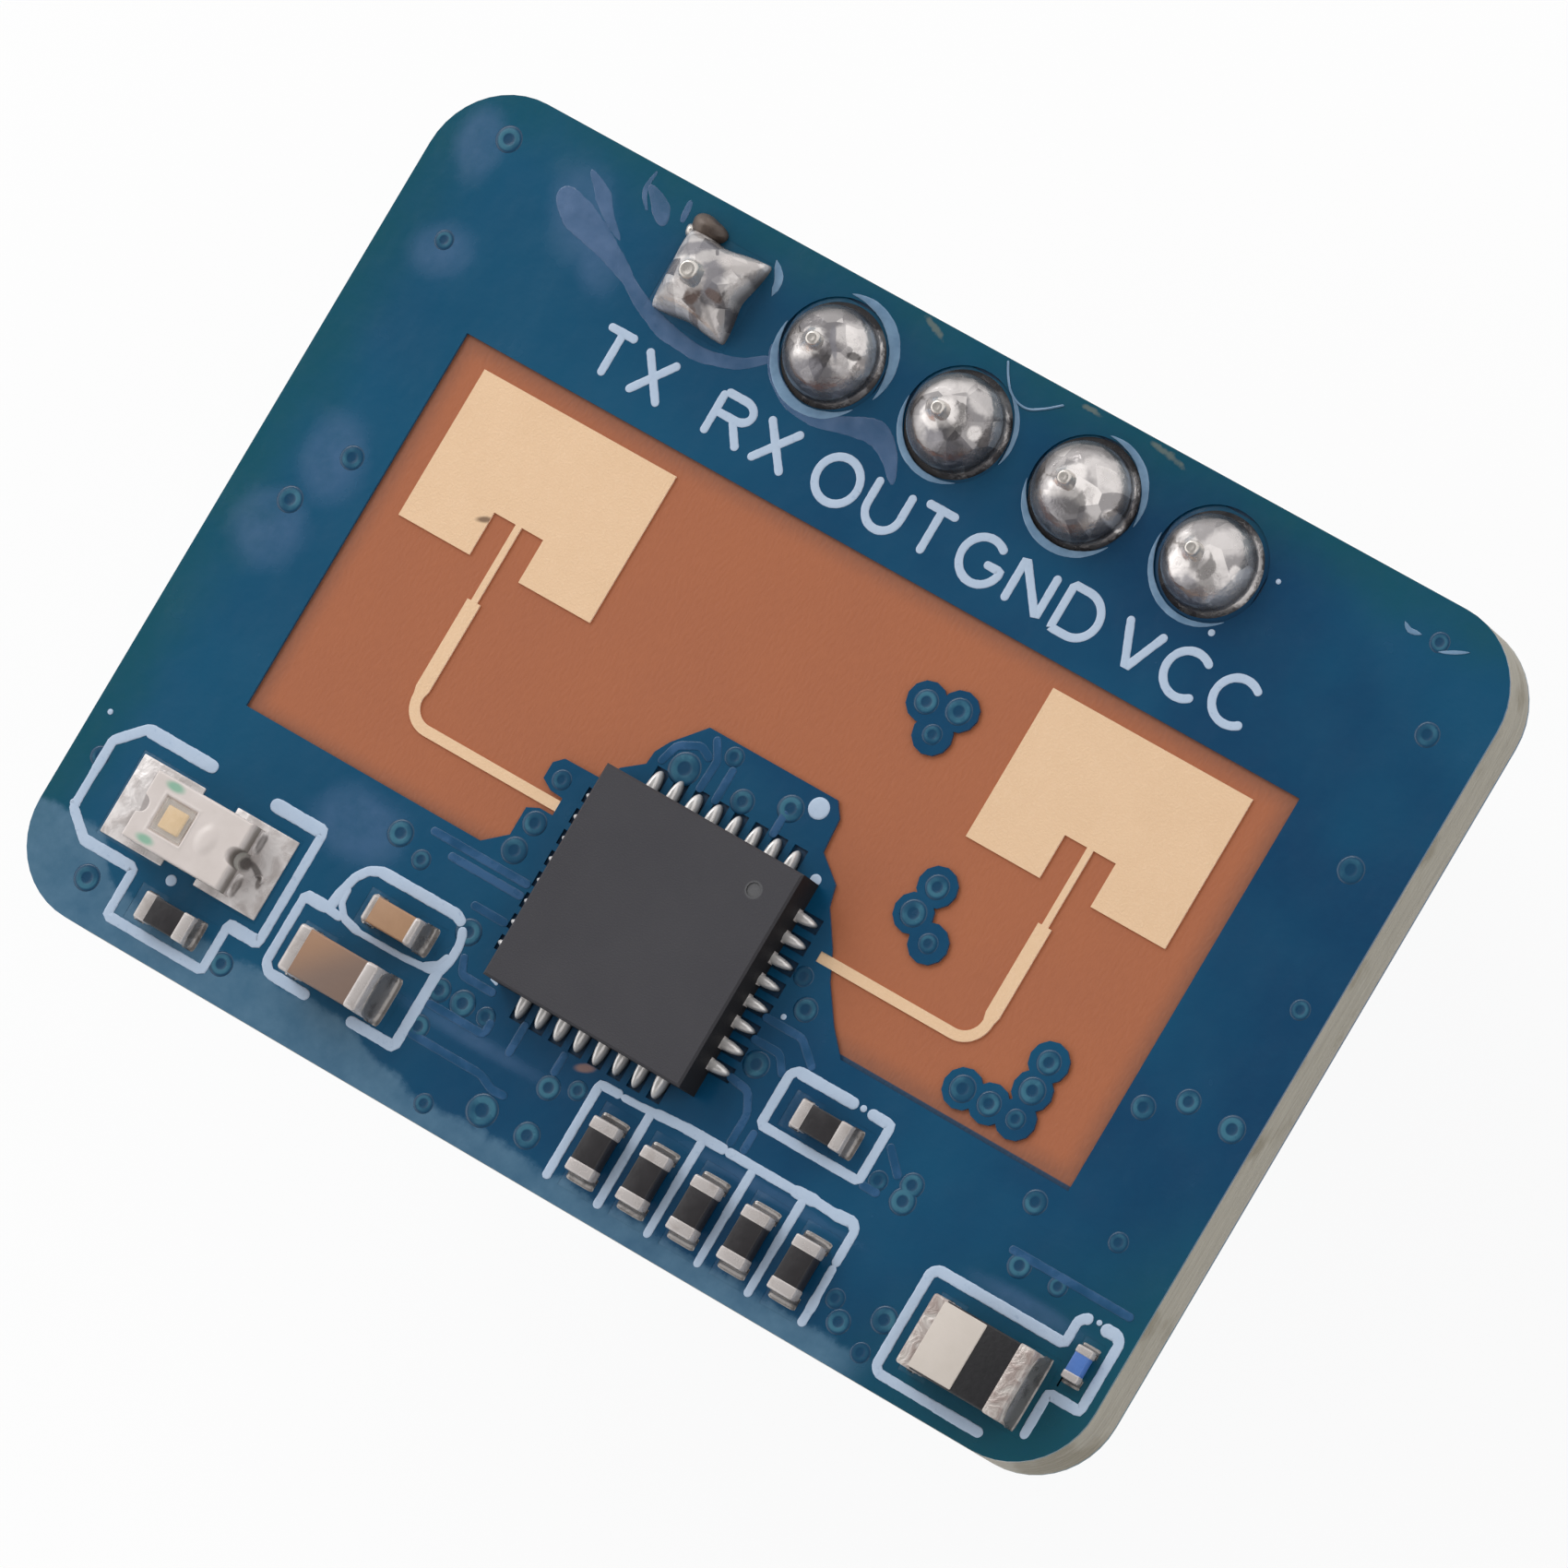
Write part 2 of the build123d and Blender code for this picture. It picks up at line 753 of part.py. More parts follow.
def light_frame():
    """The frame round the light, open above, with a bay for its resistor below."""
    left, right = light_x - light_frame_left, light_x + light_frame_right
    above, below = light_y + light_frame_above, light_y - light_frame_below
    bay_left, bay_right = light_x - resistor_bay_left, light_x + resistor_bay_right
    bay_y = light_y - resistor_bay_drop
    bevel = light_frame_bevel
    return stroke(
        (light_x + light_gap_left, above), (left + bevel, above), (left, above - bevel),
        (left, below + bevel), (left + bevel, below), (bay_left, below), (bay_left, bay_y),
        (bay_right, bay_y), (bay_right, below), (right, below), (right, above),
        (light_x + light_gap_right, above),
    )


def capacitor_frames():
    """A round-cornered frame on the small capacitor, and an open one on the large."""
    left, right = small_capacitor_x - cap_frame_left, small_capacitor_x + cap_frame_right
    above, below = small_capacitor_y + cap_frame_above, small_capacitor_y - cap_frame_below
    big_left, big_right = large_capacitor_x - large_frame_left, large_capacitor_x + large_frame_right
    big_below = large_capacitor_y - large_frame_below
    with BuildSketch() as frames:
        add(frame_ring(
            (left + right) / 2, (above + below) / 2, right - left, above - below, cap_frame_corner,
        ))
        add(stroke(
            (large_capacitor_x + large_gap_left, big_below), (big_left, big_below), (big_left, below),
            (big_right, below), (big_right, big_below), (large_capacitor_x + large_gap_right, big_below),
        ))
    return frames.sketch_local


def row_frame():
    """A comb between the resistors of the row."""
    above, below = row_y + row_frame_above, row_y - row_frame_below
    half_row = row_count / 2 * row_pitch
    with BuildSketch() as comb:
        add(stroke((row_x - half_row, above), (row_x + half_row, above)))
        for number in range(row_count + 1):
            tooth_x = row_x - half_row + number * row_pitch
            add(stroke((tooth_x, above), (tooth_x, below)))
    return comb.sketch_local


def side_frame():
    """A plain closed frame round the side resistor."""
    left = side_resistor_x - side_frame_shift - side_frame_half_length
    right = left + 2 * side_frame_half_length
    above, below = side_resistor_y + side_frame_half_width, side_resistor_y - side_frame_half_width
    return stroke((left, above), (right, above), (right, below), (left, below), (left, above))


def diode_frame():
    """The frame round the diode, which steps out round the resistor at the edge."""
    left, gap = diode_x - diode_frame_left, diode_x + diode_frame_gap
    above, below = diode_y + diode_frame_above, diode_y - diode_frame_below
    edge_left, edge_right = edge_resistor_x - edge_frame_left, edge_resistor_x + edge_frame_right
    edge_above, edge_below = edge_resistor_y + edge_frame_above, edge_resistor_y - edge_frame_below
    step_x = edge_resistor_x - edge_frame_step
    return stroke(
        (gap, below), (left, below), (left, above), (edge_left, above), (edge_left, edge_above),
        (edge_right, edge_above), (edge_right, edge_below), (step_x, edge_below),
        (step_x, edge_resistor_y - edge_frame_drop),
    )


# Printed outlines on the mask, and the dot by the chip's first pin
with BuildPart() as outline_print:
    with BuildSketch(level(top_z)):
        add(light_frame())
        add(capacitor_frames())
        add(row_frame())
        add(side_frame())
        add(diode_frame())
        with Locations((print_dot_x, print_dot_y)):
            Circle(print_dot_radius)
    extrude(amount=print_thickness)
save(outline_print.part, "outline_print")
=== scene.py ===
import json
import bmesh
import bpy
import numpy as np
from mathutils import Matrix, Vector


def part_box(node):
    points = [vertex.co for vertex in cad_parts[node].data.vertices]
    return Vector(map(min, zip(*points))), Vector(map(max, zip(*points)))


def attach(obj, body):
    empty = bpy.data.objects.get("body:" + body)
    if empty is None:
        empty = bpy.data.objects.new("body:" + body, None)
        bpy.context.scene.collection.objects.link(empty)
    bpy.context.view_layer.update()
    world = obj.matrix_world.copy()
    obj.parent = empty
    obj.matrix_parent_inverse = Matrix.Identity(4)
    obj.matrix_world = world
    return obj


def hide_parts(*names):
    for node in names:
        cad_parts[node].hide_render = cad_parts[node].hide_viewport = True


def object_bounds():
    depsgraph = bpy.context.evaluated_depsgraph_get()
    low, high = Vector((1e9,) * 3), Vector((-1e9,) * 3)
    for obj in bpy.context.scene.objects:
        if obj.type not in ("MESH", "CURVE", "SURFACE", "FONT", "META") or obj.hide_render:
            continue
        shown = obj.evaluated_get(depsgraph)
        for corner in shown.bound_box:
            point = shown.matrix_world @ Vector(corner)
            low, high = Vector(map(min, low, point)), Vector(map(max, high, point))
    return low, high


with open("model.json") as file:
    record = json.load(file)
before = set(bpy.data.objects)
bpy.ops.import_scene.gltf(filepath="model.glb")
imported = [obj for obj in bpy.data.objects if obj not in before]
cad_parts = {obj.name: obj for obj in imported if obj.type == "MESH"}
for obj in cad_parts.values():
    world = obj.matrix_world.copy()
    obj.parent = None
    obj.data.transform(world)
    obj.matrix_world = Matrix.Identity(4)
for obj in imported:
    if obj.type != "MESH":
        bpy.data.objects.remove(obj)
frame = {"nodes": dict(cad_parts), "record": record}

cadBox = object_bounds()
nodes = frame["nodes"]
mm = 0.001

# Places below are millimetres from the board's centre, with height above the solder mask
boardLow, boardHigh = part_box("board_laminate")
boardMiddle = (boardLow + boardHigh) / 2 / mm
middle = np.array([boardMiddle.x, boardMiddle.y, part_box("front_mask")[1].z / mm])
laminateTop = -0.055
justUnderMask = -0.004


def partBox(node):  # a CAD node's corners in the board's millimetres
    return [np.array(corner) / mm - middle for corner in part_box(node)]


def pinPlace(number):  # where a header pin stands on the board, and the height of its tip
    low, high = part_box(f"header_pin_{number}")
    return np.array((low + high) / 2 / mm)[:2] - middle[:2], high.z / mm - middle[2]


print("camera")
view = {
    "place": Vector((85.791, -15.665, 207.978)) * mm,
    "looksAt": Vector((0.598, -6.525, 3.700)) * mm,
    "up": Vector((-0.45637, 0.85987, 0.22880)),
    "lens": 311.75,
    "sensor": 36.0,
    "clip": (0.01, 20.0),
}


def addCamera(look):
    data = bpy.data.cameras.new("viewer")
    data.lens = look["lens"]
    data.sensor_width = look["sensor"]
    data.clip_start, data.clip_end = look["clip"]
    camera = bpy.data.objects.new("viewer", data)
    bpy.context.scene.collection.objects.link(camera)
    back = (look["place"] - look["looksAt"]).normalized()
    right = look["up"].cross(back).normalized()
    above = back.cross(right)
    turn = Matrix((right, above, back)).transposed().to_4x4()
    camera.matrix_world = Matrix.Translation(look["place"]) @ turn
    bpy.context.scene.camera = camera


addCamera(view)
bpy.context.scene.view_settings.view_transform = "Standard"


def tint(red, green, blue):  # a colour as it looks on screen, 0 to 255, in linear light
    seen = np.array([red, green, blue]) / 255
    linear = np.where(seen <= 0.04045, seen / 12.92, ((seen + 0.055) / 1.055) ** 2.4)
    return (*linear.tolist(), 1.0)


class Value:  # a node's output, so that shader maths can be written as plain expressions
    def __init__(self, graph, socket):
        self.graph = graph
        self.socket = socket

    def math(self, operation, *values):
        return self.graph.node("Math", {"operation": operation}, values)


operations = {
    "__add__": "ADD", "__radd__": "ADD", "__sub__": "SUBTRACT", "__mul__": "MULTIPLY", "__rmul__": "MULTIPLY",
    "__truediv__": "DIVIDE", "__pow__": "POWER", "__abs__": "ABSOLUTE", "most": "MAXIMUM",
}
for name, operation in operations.items():
    setattr(Value, name, lambda *values, operation=operation: values[0].math(operation, *values))
Value.__rsub__ = lambda value, other: value.math("SUBTRACT", other, value)


class Graph:  # the nodes of one material or of the world
    def __init__(self, owner):
        self.owner = owner
        owner.use_nodes = True
        self.tree = owner.node_tree
        self.tree.nodes.clear()

    def node(self, kind, settings, values, output=0):
        made = self.tree.nodes.new(f"ShaderNode{kind}")
        for key, setting in settings.items():
            setattr(made, key, setting)
        pairs = values.items() if isinstance(values, dict) else enumerate(values)
        for key, value in pairs:
            if isinstance(value, Value):
                self.tree.links.new(value.socket, made.inputs[key])
            else:
                made.inputs[key].default_value = value
        return Value(self, made.outputs[output]) if made.outputs else None

    def mix(self, factor, first, second):  # each colour is a node's output or a screen colour
        first, second = [tint(*color) if isinstance(color, tuple) else color for color in (first, second)]
        return self.node("Mix", {"data_type": "RGBA"}, {0: factor, 6: first, 7: second}, 2)

    def step(self, value, low, high):  # 0 below low, 1 above high, smooth between
        values = {"Value": value, "From Min": low, "From Max": high}
        return self.node("MapRange", {"interpolation_type": "SMOOTHSTEP"}, values)

    def split(self, vector):
        return [self.node("SeparateXYZ", {}, [vector], axis) for axis in range(3)]


class Finish(Graph):  # a material laid out in the board's millimetres
    def __init__(self, name):
        super().__init__(bpy.data.materials.new(name))
        spot = self.node("TexCoord", {}, {}, "Object")
        steps = [spot, (1 / mm, 1 / mm, 1 / mm), tuple((-middle).tolist())]
        self.spot = self.node("VectorMath", {"operation": "MULTIPLY_ADD"}, steps)
        self.x, self.y, self.z = self.split(self.spot)

    def facing(self):  # how far the surface faces up, from -1 to 1
        return self.split(self.node("NewGeometry", {}, {}, "Normal"))[2]

    def stretched(self, along, across, up):
        return self.node("VectorMath", {"operation": "MULTIPLY"}, [self.spot, (along, across, up)])

    def noise(self, scale, detail=2.0, rough=0.5, bend=0.0, spot=None):
        values = {
            "Vector": spot or self.spot, "Scale": scale, "Detail": detail, "Roughness": rough,
            "Distortion": bend,
        }
        return self.node("TexNoise", {}, values)

    def blob(self, place, size, soft=0.5, turn=0.0, warp=0):
        # 1 inside an ellipse and 0 outside, with an edge that is soft and may be warped
        cos, sin = np.cos(np.radians(turn)), np.sin(np.radians(turn))
        along, across = self.x - place[0], self.y - place[1]
        run = (along * float(cos) + across * float(sin)) / size[0]
        rise = (across * float(cos) - along * float(sin)) / size[1]
        return 1 - self.step((run * run + rise * rise) ** 0.5 + warp, 1 - soft, 1 + soft)

    def marked(self, color, marks, soft, warp=0):
        # lays marks over a colour: place, half sizes, turn in degrees, screen colour and strength
        for place, size, turn, tone, strength in marks:
            color = self.mix(self.blob(place, size, soft, turn, warp) * strength, color, tone)
        return color

    def patch(self, place, half, soft):  # 1 inside a rectangle, with soft edges
        wide = 1 - self.step(abs(self.x - place[0]), half[0] - soft, half[0] + soft)
        tall = 1 - self.step(abs(self.y - place[1]), half[1] - soft, half[1] + soft)
        return wide * tall

    def coat(self, color, roughness, metallic=0.0, height=None, **others):  # height in millimetres
        values = {"Base Color": color, "Roughness": roughness, "Metallic": metallic}
        values.update({key.replace("_", " "): value for key, value in others.items()})
        if height:
            values["Normal"] = self.node("Bump", {}, {"Strength": 1.0, "Distance": mm, "Height": height})
        shader = self.node("BsdfPrincipled", {}, values)
        self.node("OutputMaterial", {}, [shader])
        return self.owner


print("light and floor")
studio = {
    "walls": 1.15,
    "ceiling": 0.24,
    "ceilingEdge": (0.74, 0.86),
    "floorRadius": 1500.0,
    "keyDirection": Vector((-0.70, 0.42, 0.58)),
    "keyDistance": 0.30,
    "keySize": 0.16,
    "keyPower": 0.24,
    "floorWhite": 0.9,
    "panel": (0.35, -0.83, 0.43),
    "panelEdge": (0.70, 0.92),
    "panelDark": 0.62,
    "glow": (-0.80, -0.30, 0.52),
    "glowEdge": (0.80, 0.97),
    "glowBright": 0.45,
}


def addStudio(setting):
    # white walls under a dim ceiling, with one dark panel, one glow and a small lamp for the highlights
    world = bpy.data.worlds.new("studio")
    bpy.context.scene.world = world
    graph = Graph(world)
    direction = graph.node("TexCoord", {}, {}, "Generated")
    up = graph.split(direction)[2]
    dim = graph.step(up, *setting["ceilingEdge"])
    strength = dim * (setting["ceiling"] - setting["walls"]) + setting["walls"]

    def toward(way, edge):
        near = graph.node("VectorMath", {"operation": "DOT_PRODUCT"}, [direction, way], "Value")
        return graph.step(near, *edge)

    strength = strength * (1 - toward(setting["panel"], setting["panelEdge"]) * setting["panelDark"])
    strength = strength * (1 + toward(setting["glow"], setting["glowEdge"]) * setting["glowBright"])
    sky = graph.node("Background", {}, {"Color": (1, 1, 1, 1), "Strength": strength})
    graph.node("OutputWorld", {}, [sky])
    lamp = bpy.data.lights.new("key", "AREA")
    lamp.size = setting["keySize"]
    lamp.energy = setting["keyPower"]
    key = bpy.data.objects.new("key", lamp)
    bpy.context.scene.collection.objects.link(key)
    direction = setting["keyDirection"].normalized()
    key.matrix_world = Matrix.Translation(direction * setting["keyDistance"]) @ (
        direction.to_track_quat("Z", "Y").to_matrix().to_4x4()
    )


def addFloor(setting):
    # a wide disc, level with the ends of the header pins
    floorHeight = cadBox[0].z
    sides = 96
    angles = np.linspace(0, 2 * np.pi, sides, endpoint=False)
    rim = np.stack([np.cos(angles), np.sin(angles), np.zeros(sides)], axis=1) * setting["floorRadius"] * mm
    rim[:, 2] = floorHeight
    mesh = bpy.data.meshes.new("floor")
    mesh.from_pydata(rim.tolist(), [], [list(range(sides))])
    floor = bpy.data.objects.new("floor", mesh)
    bpy.context.scene.collection.objects.link(floor)
    finish = Finish("floorPaper")
    grain = finish.noise(0.35, 3.0)
    color = finish.mix(grain, (249, 249, 249), (253, 253, 253))
    paper = finish.node("BsdfDiffuse", {}, {"Color": color})
    white = finish.node("Emission", {}, {"Color": (1, 1, 1, 1), "Strength": 1.0})
    seen = finish.node("LightPath", {}, {}, "Is Camera Ray")
    for ray in ("Is Glossy Ray", "Is Transmission Ray"):
        seen = seen.most(finish.node("LightPath", {}, {}, ray))
    lit = finish.node("MixShader", {}, {0: seen * setting["floorWhite"], 1: paper, 2: white})
    finish.node("OutputMaterial", {}, [lit])
    mesh.materials.append(finish.owner)


addStudio(studio)
addFloor(studio)


print("finishes")
maskLook = {
    "deep": (4, 62, 98), "pale": (10, 78, 112), "left": (16, 88, 120), "teal": (8, 80, 92),
    # band: the colour of a painted reflection along the mask's lower edge
    "film": (72, 106, 146), "band": (82, 120, 146), "ridge": (62, 112, 144),
    # dried film: place, half sizes, softness and turn in degrees
    "films": [
        ((-10.02, 6.75), (0.42, 0.62), 0.35, 20), ((-9.60, 4.85), (0.55, 0.42), 0.45, 20),
        ((-9.35, 0.95), (0.55, 0.75), 0.4, 20), ((-9.75, -0.55), (0.65, 0.65), 0.4, 0),
        ((-7.75, 6.55), (0.85, 0.50), 0.5, -55), ((-7.1, 6.0), (0.35, 0.6), 0.5, 40),
        ((-5.55, -4.1), (0.85, 0.6), 0.4, 0), ((8.9, -5.40), (1.0, 0.17), 0.6, 0),
        ((-1.9, -6.2), (1.3, 0.12), 0.8, 0), ((4.0, -5.92), (1.4, 0.1), 0.7, 0),
    ],
    "flecks": [
        ((3.45, 7.72), (0.3, 0.05), -8, (136, 138, 122), 0.45),
        ((-1.2, 7.68), (0.2, 0.05), -25, (136, 138, 122), 0.45),
        ((1.9, 7.75), (0.16, 0.04), 0, (136, 138, 122), 0.45),
    ],
    "scorch": ((0.12, -5.68), (0.17, 0.07), 25, (150, 118, 108), 0.8),
}
window = {"middle": (0.02, 0.24), "half": (8.45, 3.63), "shadedMargin": 0.2, "chipGap": 0.40, "leadRows": 1.65}
chipLow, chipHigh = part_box("chip_body")
chipHalf = (chipHigh.x - chipLow.x) / 2 / mm
chipMiddle = np.array((chipLow + chipHigh) / 2 / mm)[:2] - middle[:2]


def blueMask(look):
    finish = Finish("blueMask")
    left, down = 0 - finish.x, 0 - finish.y
    fine = finish.noise(6.0, 3.0)
    color = finish.mix(finish.step(finish.noise(0.22, 3.0), 0.35, 0.7), look["deep"], look["pale"])
    color = finish.mix(finish.step(left, -3.0, 9.0) * 0.55, color, look["left"])
    wobble = (finish.noise(0.7, 3.0) - 0.5) * 1.3
    teal = finish.step(finish.y + wobble, 6.6, 8.2).most(finish.step(left + wobble, 9.4, 11.0))
    teal = teal.most(finish.step(finish.x - finish.y + wobble, 12.0, 17.5))
    color = finish.mix(teal * 0.8, color, look["teal"])
    ragged = finish.noise(1.6, 4.0, 0.6) - 0.5
    # the light band along the lower edge, a painted reflection, starts lower to the right and higher in the
    # left corner
    limit = finish.step(finish.x, -4.5, -2.0) * 0.42 - finish.step(left, 8.7, 9.6) * 0.7
    band = finish.step(down + ragged * 0.5 - limit, 6.92, 7.12)
    band = band * (1 - finish.step(finish.x, 6.2, 7.3)) * (0.75 + ragged)
    color = finish.mix(band, color, look["band"])
    film, *others = [finish.blob(*spot, ragged) for spot in look["films"]]
    for other in others:
        film = film.most(other)
    color = finish.mix(film * (0.4 + ragged), color, look["film"])
    color = finish.mix(finish.step(finish.z, 0.003, 0.016) * 0.4, color, look["ridge"])
    color = finish.mix(finish.step(fine, 0.35, 0.75) * 0.12, color, look["pale"])
    color = finish.marked(color, look["flecks"], 0.5, (fine - 0.5) * 2.6)
    color = finish.marked(color, [look["scorch"]], 0.4, ragged)
    orange = (finish.noise(2.2, 3.0) - 0.5) * 0.012 + (fine - 0.5) * 0.0022
    rough = 0.16 + finish.noise(1.1, 3.0) * 0.16 + film * 0.1 + band * 0.12
    return finish.coat(color, rough, height=orange, IOR=1.44)


def bareLaminate(look):
    # brown in the window round the antennas and darker along the window's edge as painted shade, painted dark
    # blue as shade in the small gaps of the mask, pale on the cut edge
    finish = Finish("bareLaminate")
    face = finish.step(finish.facing(), 0.4, 0.8)
    grain = finish.noise(18.0, 2.0, spot=finish.stretched(1.0, 0.35, 1.0))
    brown = finish.mix(finish.noise(0.5, 3.0), (174, 100, 60), (164, 94, 60))
    inner = tuple(half - look["shadedMargin"] for half in look["half"])
    # darker along the window's edge: painted shade under the edge of the mask
    brown = finish.mix((1 - finish.patch(look["middle"], inner, 0.24)) * 0.6, brown, (108, 72, 58))
    brown = finish.mix(finish.step(grain, 0.3, 0.8) * 0.2, brown, (184, 110, 70))
    reach, rows = chipHalf + look["chipGap"], look["leadRows"]
    byLeads = finish.patch(chipMiddle, (reach, rows), 0.01)
    byLeads = byLeads.most(finish.patch(chipMiddle, (rows, reach), 0.01))
    # the small gaps of the mask are painted dark blue, as painted shade
    brown = finish.mix(finish.patch(look["middle"], look["half"], 0.01) * (1 - byLeads), (14, 56, 86), brown)
    layers = finish.noise(1.4, 4.0, spot=finish.stretched(0.7, 0.7, 9.0))
    side = finish.mix(layers, (130, 125, 113), (164, 158, 144))
    corners = finish.blob((10.6, -7.3), (0.9, 0.8), 0.6).most(finish.blob((10.7, 5.9), (0.4, 0.5), 0.5))
    stain = finish.step(finish.noise(0.8, 3.0) + corners * 0.16, 0.56, 0.72)
    side = finish.mix(stain * 0.6, side, (98, 88, 62))
    relief = (grain - 0.5) * 0.006 + (layers - 0.5) * 0.02 * (1 - face)
    return finish.coat(finish.mix(face, side, brown), 0.5 + grain * 0.12, height=relief)


def goldPlating():
    finish = Finish("goldPlating")
    grain = finish.noise(28.0, 2.0)
    color = finish.mix(finish.noise(1.3, 4.0, 0.6), (242, 206, 168), (234, 197, 158))
    color = finish.mix(finish.step(grain, 0.45, 0.75) * 0.3, color, (244, 214, 182))
    color = finish.marked(color, [((-6.43, 1.32), (0.14, 0.05), 25, (90, 62, 44), 0.8)], 0.5)
    # the etched side walls are painted pale, as a painted highlight
    color = finish.mix(finish.step(finish.facing(), 0.3, 0.7), (255, 234, 208), color)
    return finish.coat(color, 0.42 + grain * 0.12, 0.3, (grain - 0.5) * 0.004)


def whitePrint():
    finish = Finish("whitePrint")
    worn = finish.step(finish.noise(9.0, 3.0, 0.7), 0.58, 0.75)
    color = finish.mix(finish.noise(3.0, 4.0, 0.6), (172, 192, 216), (190, 206, 226))
    color = finish.mix(worn * 0.35, color, (120, 152, 186))
    return finish.coat(color, 0.5, height=(finish.noise(14.0, 3.0) - 0.5) * 0.004)


# tones of the painted highlights, reflections and shade on the joints, and of their brown tints
tones = {
    "white": (238, 232, 229), "light": (206, 199, 196), "mid": (118, 116, 122), "dark": (46, 43, 44),
    "brown": (92, 70, 60),
}
# painted highlights, reflections and shade in a joint's tin, with a few brown tints: place from its pin, half
# sizes, turn in degrees, tone and strength
roundReflections = [
    ((0.10, -0.48), (0.42, 0.22), 20, "mid", 0.7), ((0.44, 0.44), (0.34, 0.24), 40, "white", 0.5),
    ((-0.10, -0.06), (0.30, 0.22), 60, "white", 0.9), ((0.70, -0.04), (0.10, 0.13), 10, "white", 0.7),
]
pitShade = [
    ((0.60, 0.10), (0.10, 0.07), 40, "dark", 0.8), ((0.24, 0.14), (0.045, 0.34), 34, "mid", 0.8),
]
starReflections = [
    ((0.26, 0.10), (0.18, 0.32), 10, "mid", 0.8), ((0.50, 0.58), (0.34, 0.20), 20, "light", 0.8),
    ((0.14, -0.32), (0.17, 0.11), 55, "brown", 0.8), ((0.44, -0.14), (0.12, 0.08), -10, "brown", 0.7),
    ((0.60, -0.02), (0.08, 0.07), 60, "dark", 0.8), ((0.22, -0.62), (0.09, 0.16), 10, "brown", 0.6),
    ((0.66, 0.12), (0.12, 0.26), 0, "white", 0.8), ((-0.02, -0.02), (0.27, 0.25), 0, "light", 0.9),
    ((0.0, 0.0), (0.17, 0.16), 0, "mid", 0.9), ((0.55, -0.50), (0.16, 0.22), 40, "light", 0.8),
    ((-0.30, 0.40), (0.30, 0.14), 40, "mid", 0.8), ((0.84, 0.80), (0.16, 0.10), 45, "white", 0.95),
    ((-0.66, -0.70), (0.12, 0.09), 45, "white", 0.95), ((0.76, -0.74), (0.16, 0.08), -45, "light", 0.95),
]


def jointReflections(number):
    # the painted highlights, reflections and shade of one joint, in the board's millimetres: from the third
    # on they are moved and turned
    chance = np.random.default_rng(20 + number)
    stray = number > 2
    marks = []
    for spot, size, turn, tone, strength in {1: starReflections, 2: roundReflections + pitShade}.get(number, roundReflections):
        place = pinPlace(number)[0] + np.array(spot) + stray * chance.uniform(-0.12, 0.12, 2)
        longer = 1 + stray * float(chance.uniform(-0.3, 0.35))
        angle = turn + stray * float(chance.uniform(-40, 40))
        marks.append((place.tolist(), (size[0] * longer, size[1]), angle, tones[tone], strength))
    return marks


def jointSolder(number):
    # painted highlights and reflections on top, in facets of its own, a painted dark reflection round the
    # steep rim, and painted shade on the steep walls
    finish = Finish(f"jointSolder{number}")
    place = pinPlace(number)[0]
    star = number == 1
    across, up = finish.x - float(place[0]) - 0.19, finish.y - float(place[1])
    far = (across * across + up * up) ** 0.5
    frost = finish.step(finish.noise(3.4, 4.0, 0.62, 0.5), 0.44, 0.64)
    # the facets are painted highlights and reflections: a random tone for each
    values = {"Vector": finish.stretched(1.0, 1.0, 0.6), "Scale": 3.2 if star else 2.5}
    facet = finish.split(finish.node("TexVoronoi", {"feature": "F1"}, values, "Color"))[0]
    color = finish.mix(facet, (104, 101, 104), (234, 228, 225))
    color = finish.mix(frost * 0.35, color, (150, 144, 143))
    ripple = (finish.noise(2.8, 3.0) - 0.5) * 0.2
    # a painted dark reflection round the steep rim of the round joints
    if not star:
        color = finish.mix(finish.step(far + ripple, 0.56, 0.76) * 0.8, color, (84, 81, 82))
    color = finish.marked(color, jointReflections(number), 0.26, (finish.noise(4.0, 3.0, 0.6) - 0.5) * 1.2)
    # the steep walls painted dark, as painted shade
    walls = (1 - finish.step(finish.facing(), 0.0, 0.4)) * (0.75 if star else 0.5)
    color = finish.mix(walls, color, tones["dark"])
    wrinkle = finish.noise(8.0, 3.0, 0.6, 0.8)
    relief = (wrinkle - 0.5) * 0.012 * (frost + 0.2) + (finish.noise(4.5, 2.0) - 0.5) * 0.014
    return finish.coat(color, 0.16 + frost * 0.14, 0.4 if star else 0.7, relief)


def brightMetal(name, base, dull, metallic, rough, relief):
    finish = Finish(name)
    frost = finish.step(finish.noise(3.1, 4.0, 0.6, 0.4), 0.46, 0.7)
    height = (finish.noise(14.0, 3.0) - 0.5) * relief * (frost + 0.3)
    return finish.coat(finish.mix(frost, base, dull), rough + frost * 0.14, metallic, height)


def wrinkledEnds():
    finish = Finish("wrinkledEnds")
    fold = finish.noise(3.2, 4.0, 0.6, 1.2)
    color = finish.mix(finish.step(fold, 0.35, 0.65), (206, 198, 192), (166, 150, 144))
    return finish.coat(color, 0.3, 0.2, (fold - 0.5) * 0.05)


def beadSolder():
    finish = Finish("beadSolder")
    cloud = finish.noise(5.0, 2.0)
    color = finish.mix(cloud, (240, 237, 234), (218, 214, 212))
    # darker grey low down, as painted shade at the foot of each bead
    color = finish.mix(finish.step(finish.z, 0.0, 0.12), (120, 124, 130), color)
    return finish.coat(color, 0.2 + cloud * 0.1, 0.4, (cloud - 0.5) * 0.01)


def buriedRelief(name, low, high, top):
    # darker where it lies low and paler on its crest, in patches
    finish = Finish(name)
    patch = finish.step(finish.noise(1.7, 3.0), 0.38, 0.62)
    crest = finish.step(finish.z, top * 0.35, top) * (patch * 0.75 + 0.2)
    return finish.coat(finish.mix(crest, low, high), 0.2 + patch * 0.1, IOR=1.5)


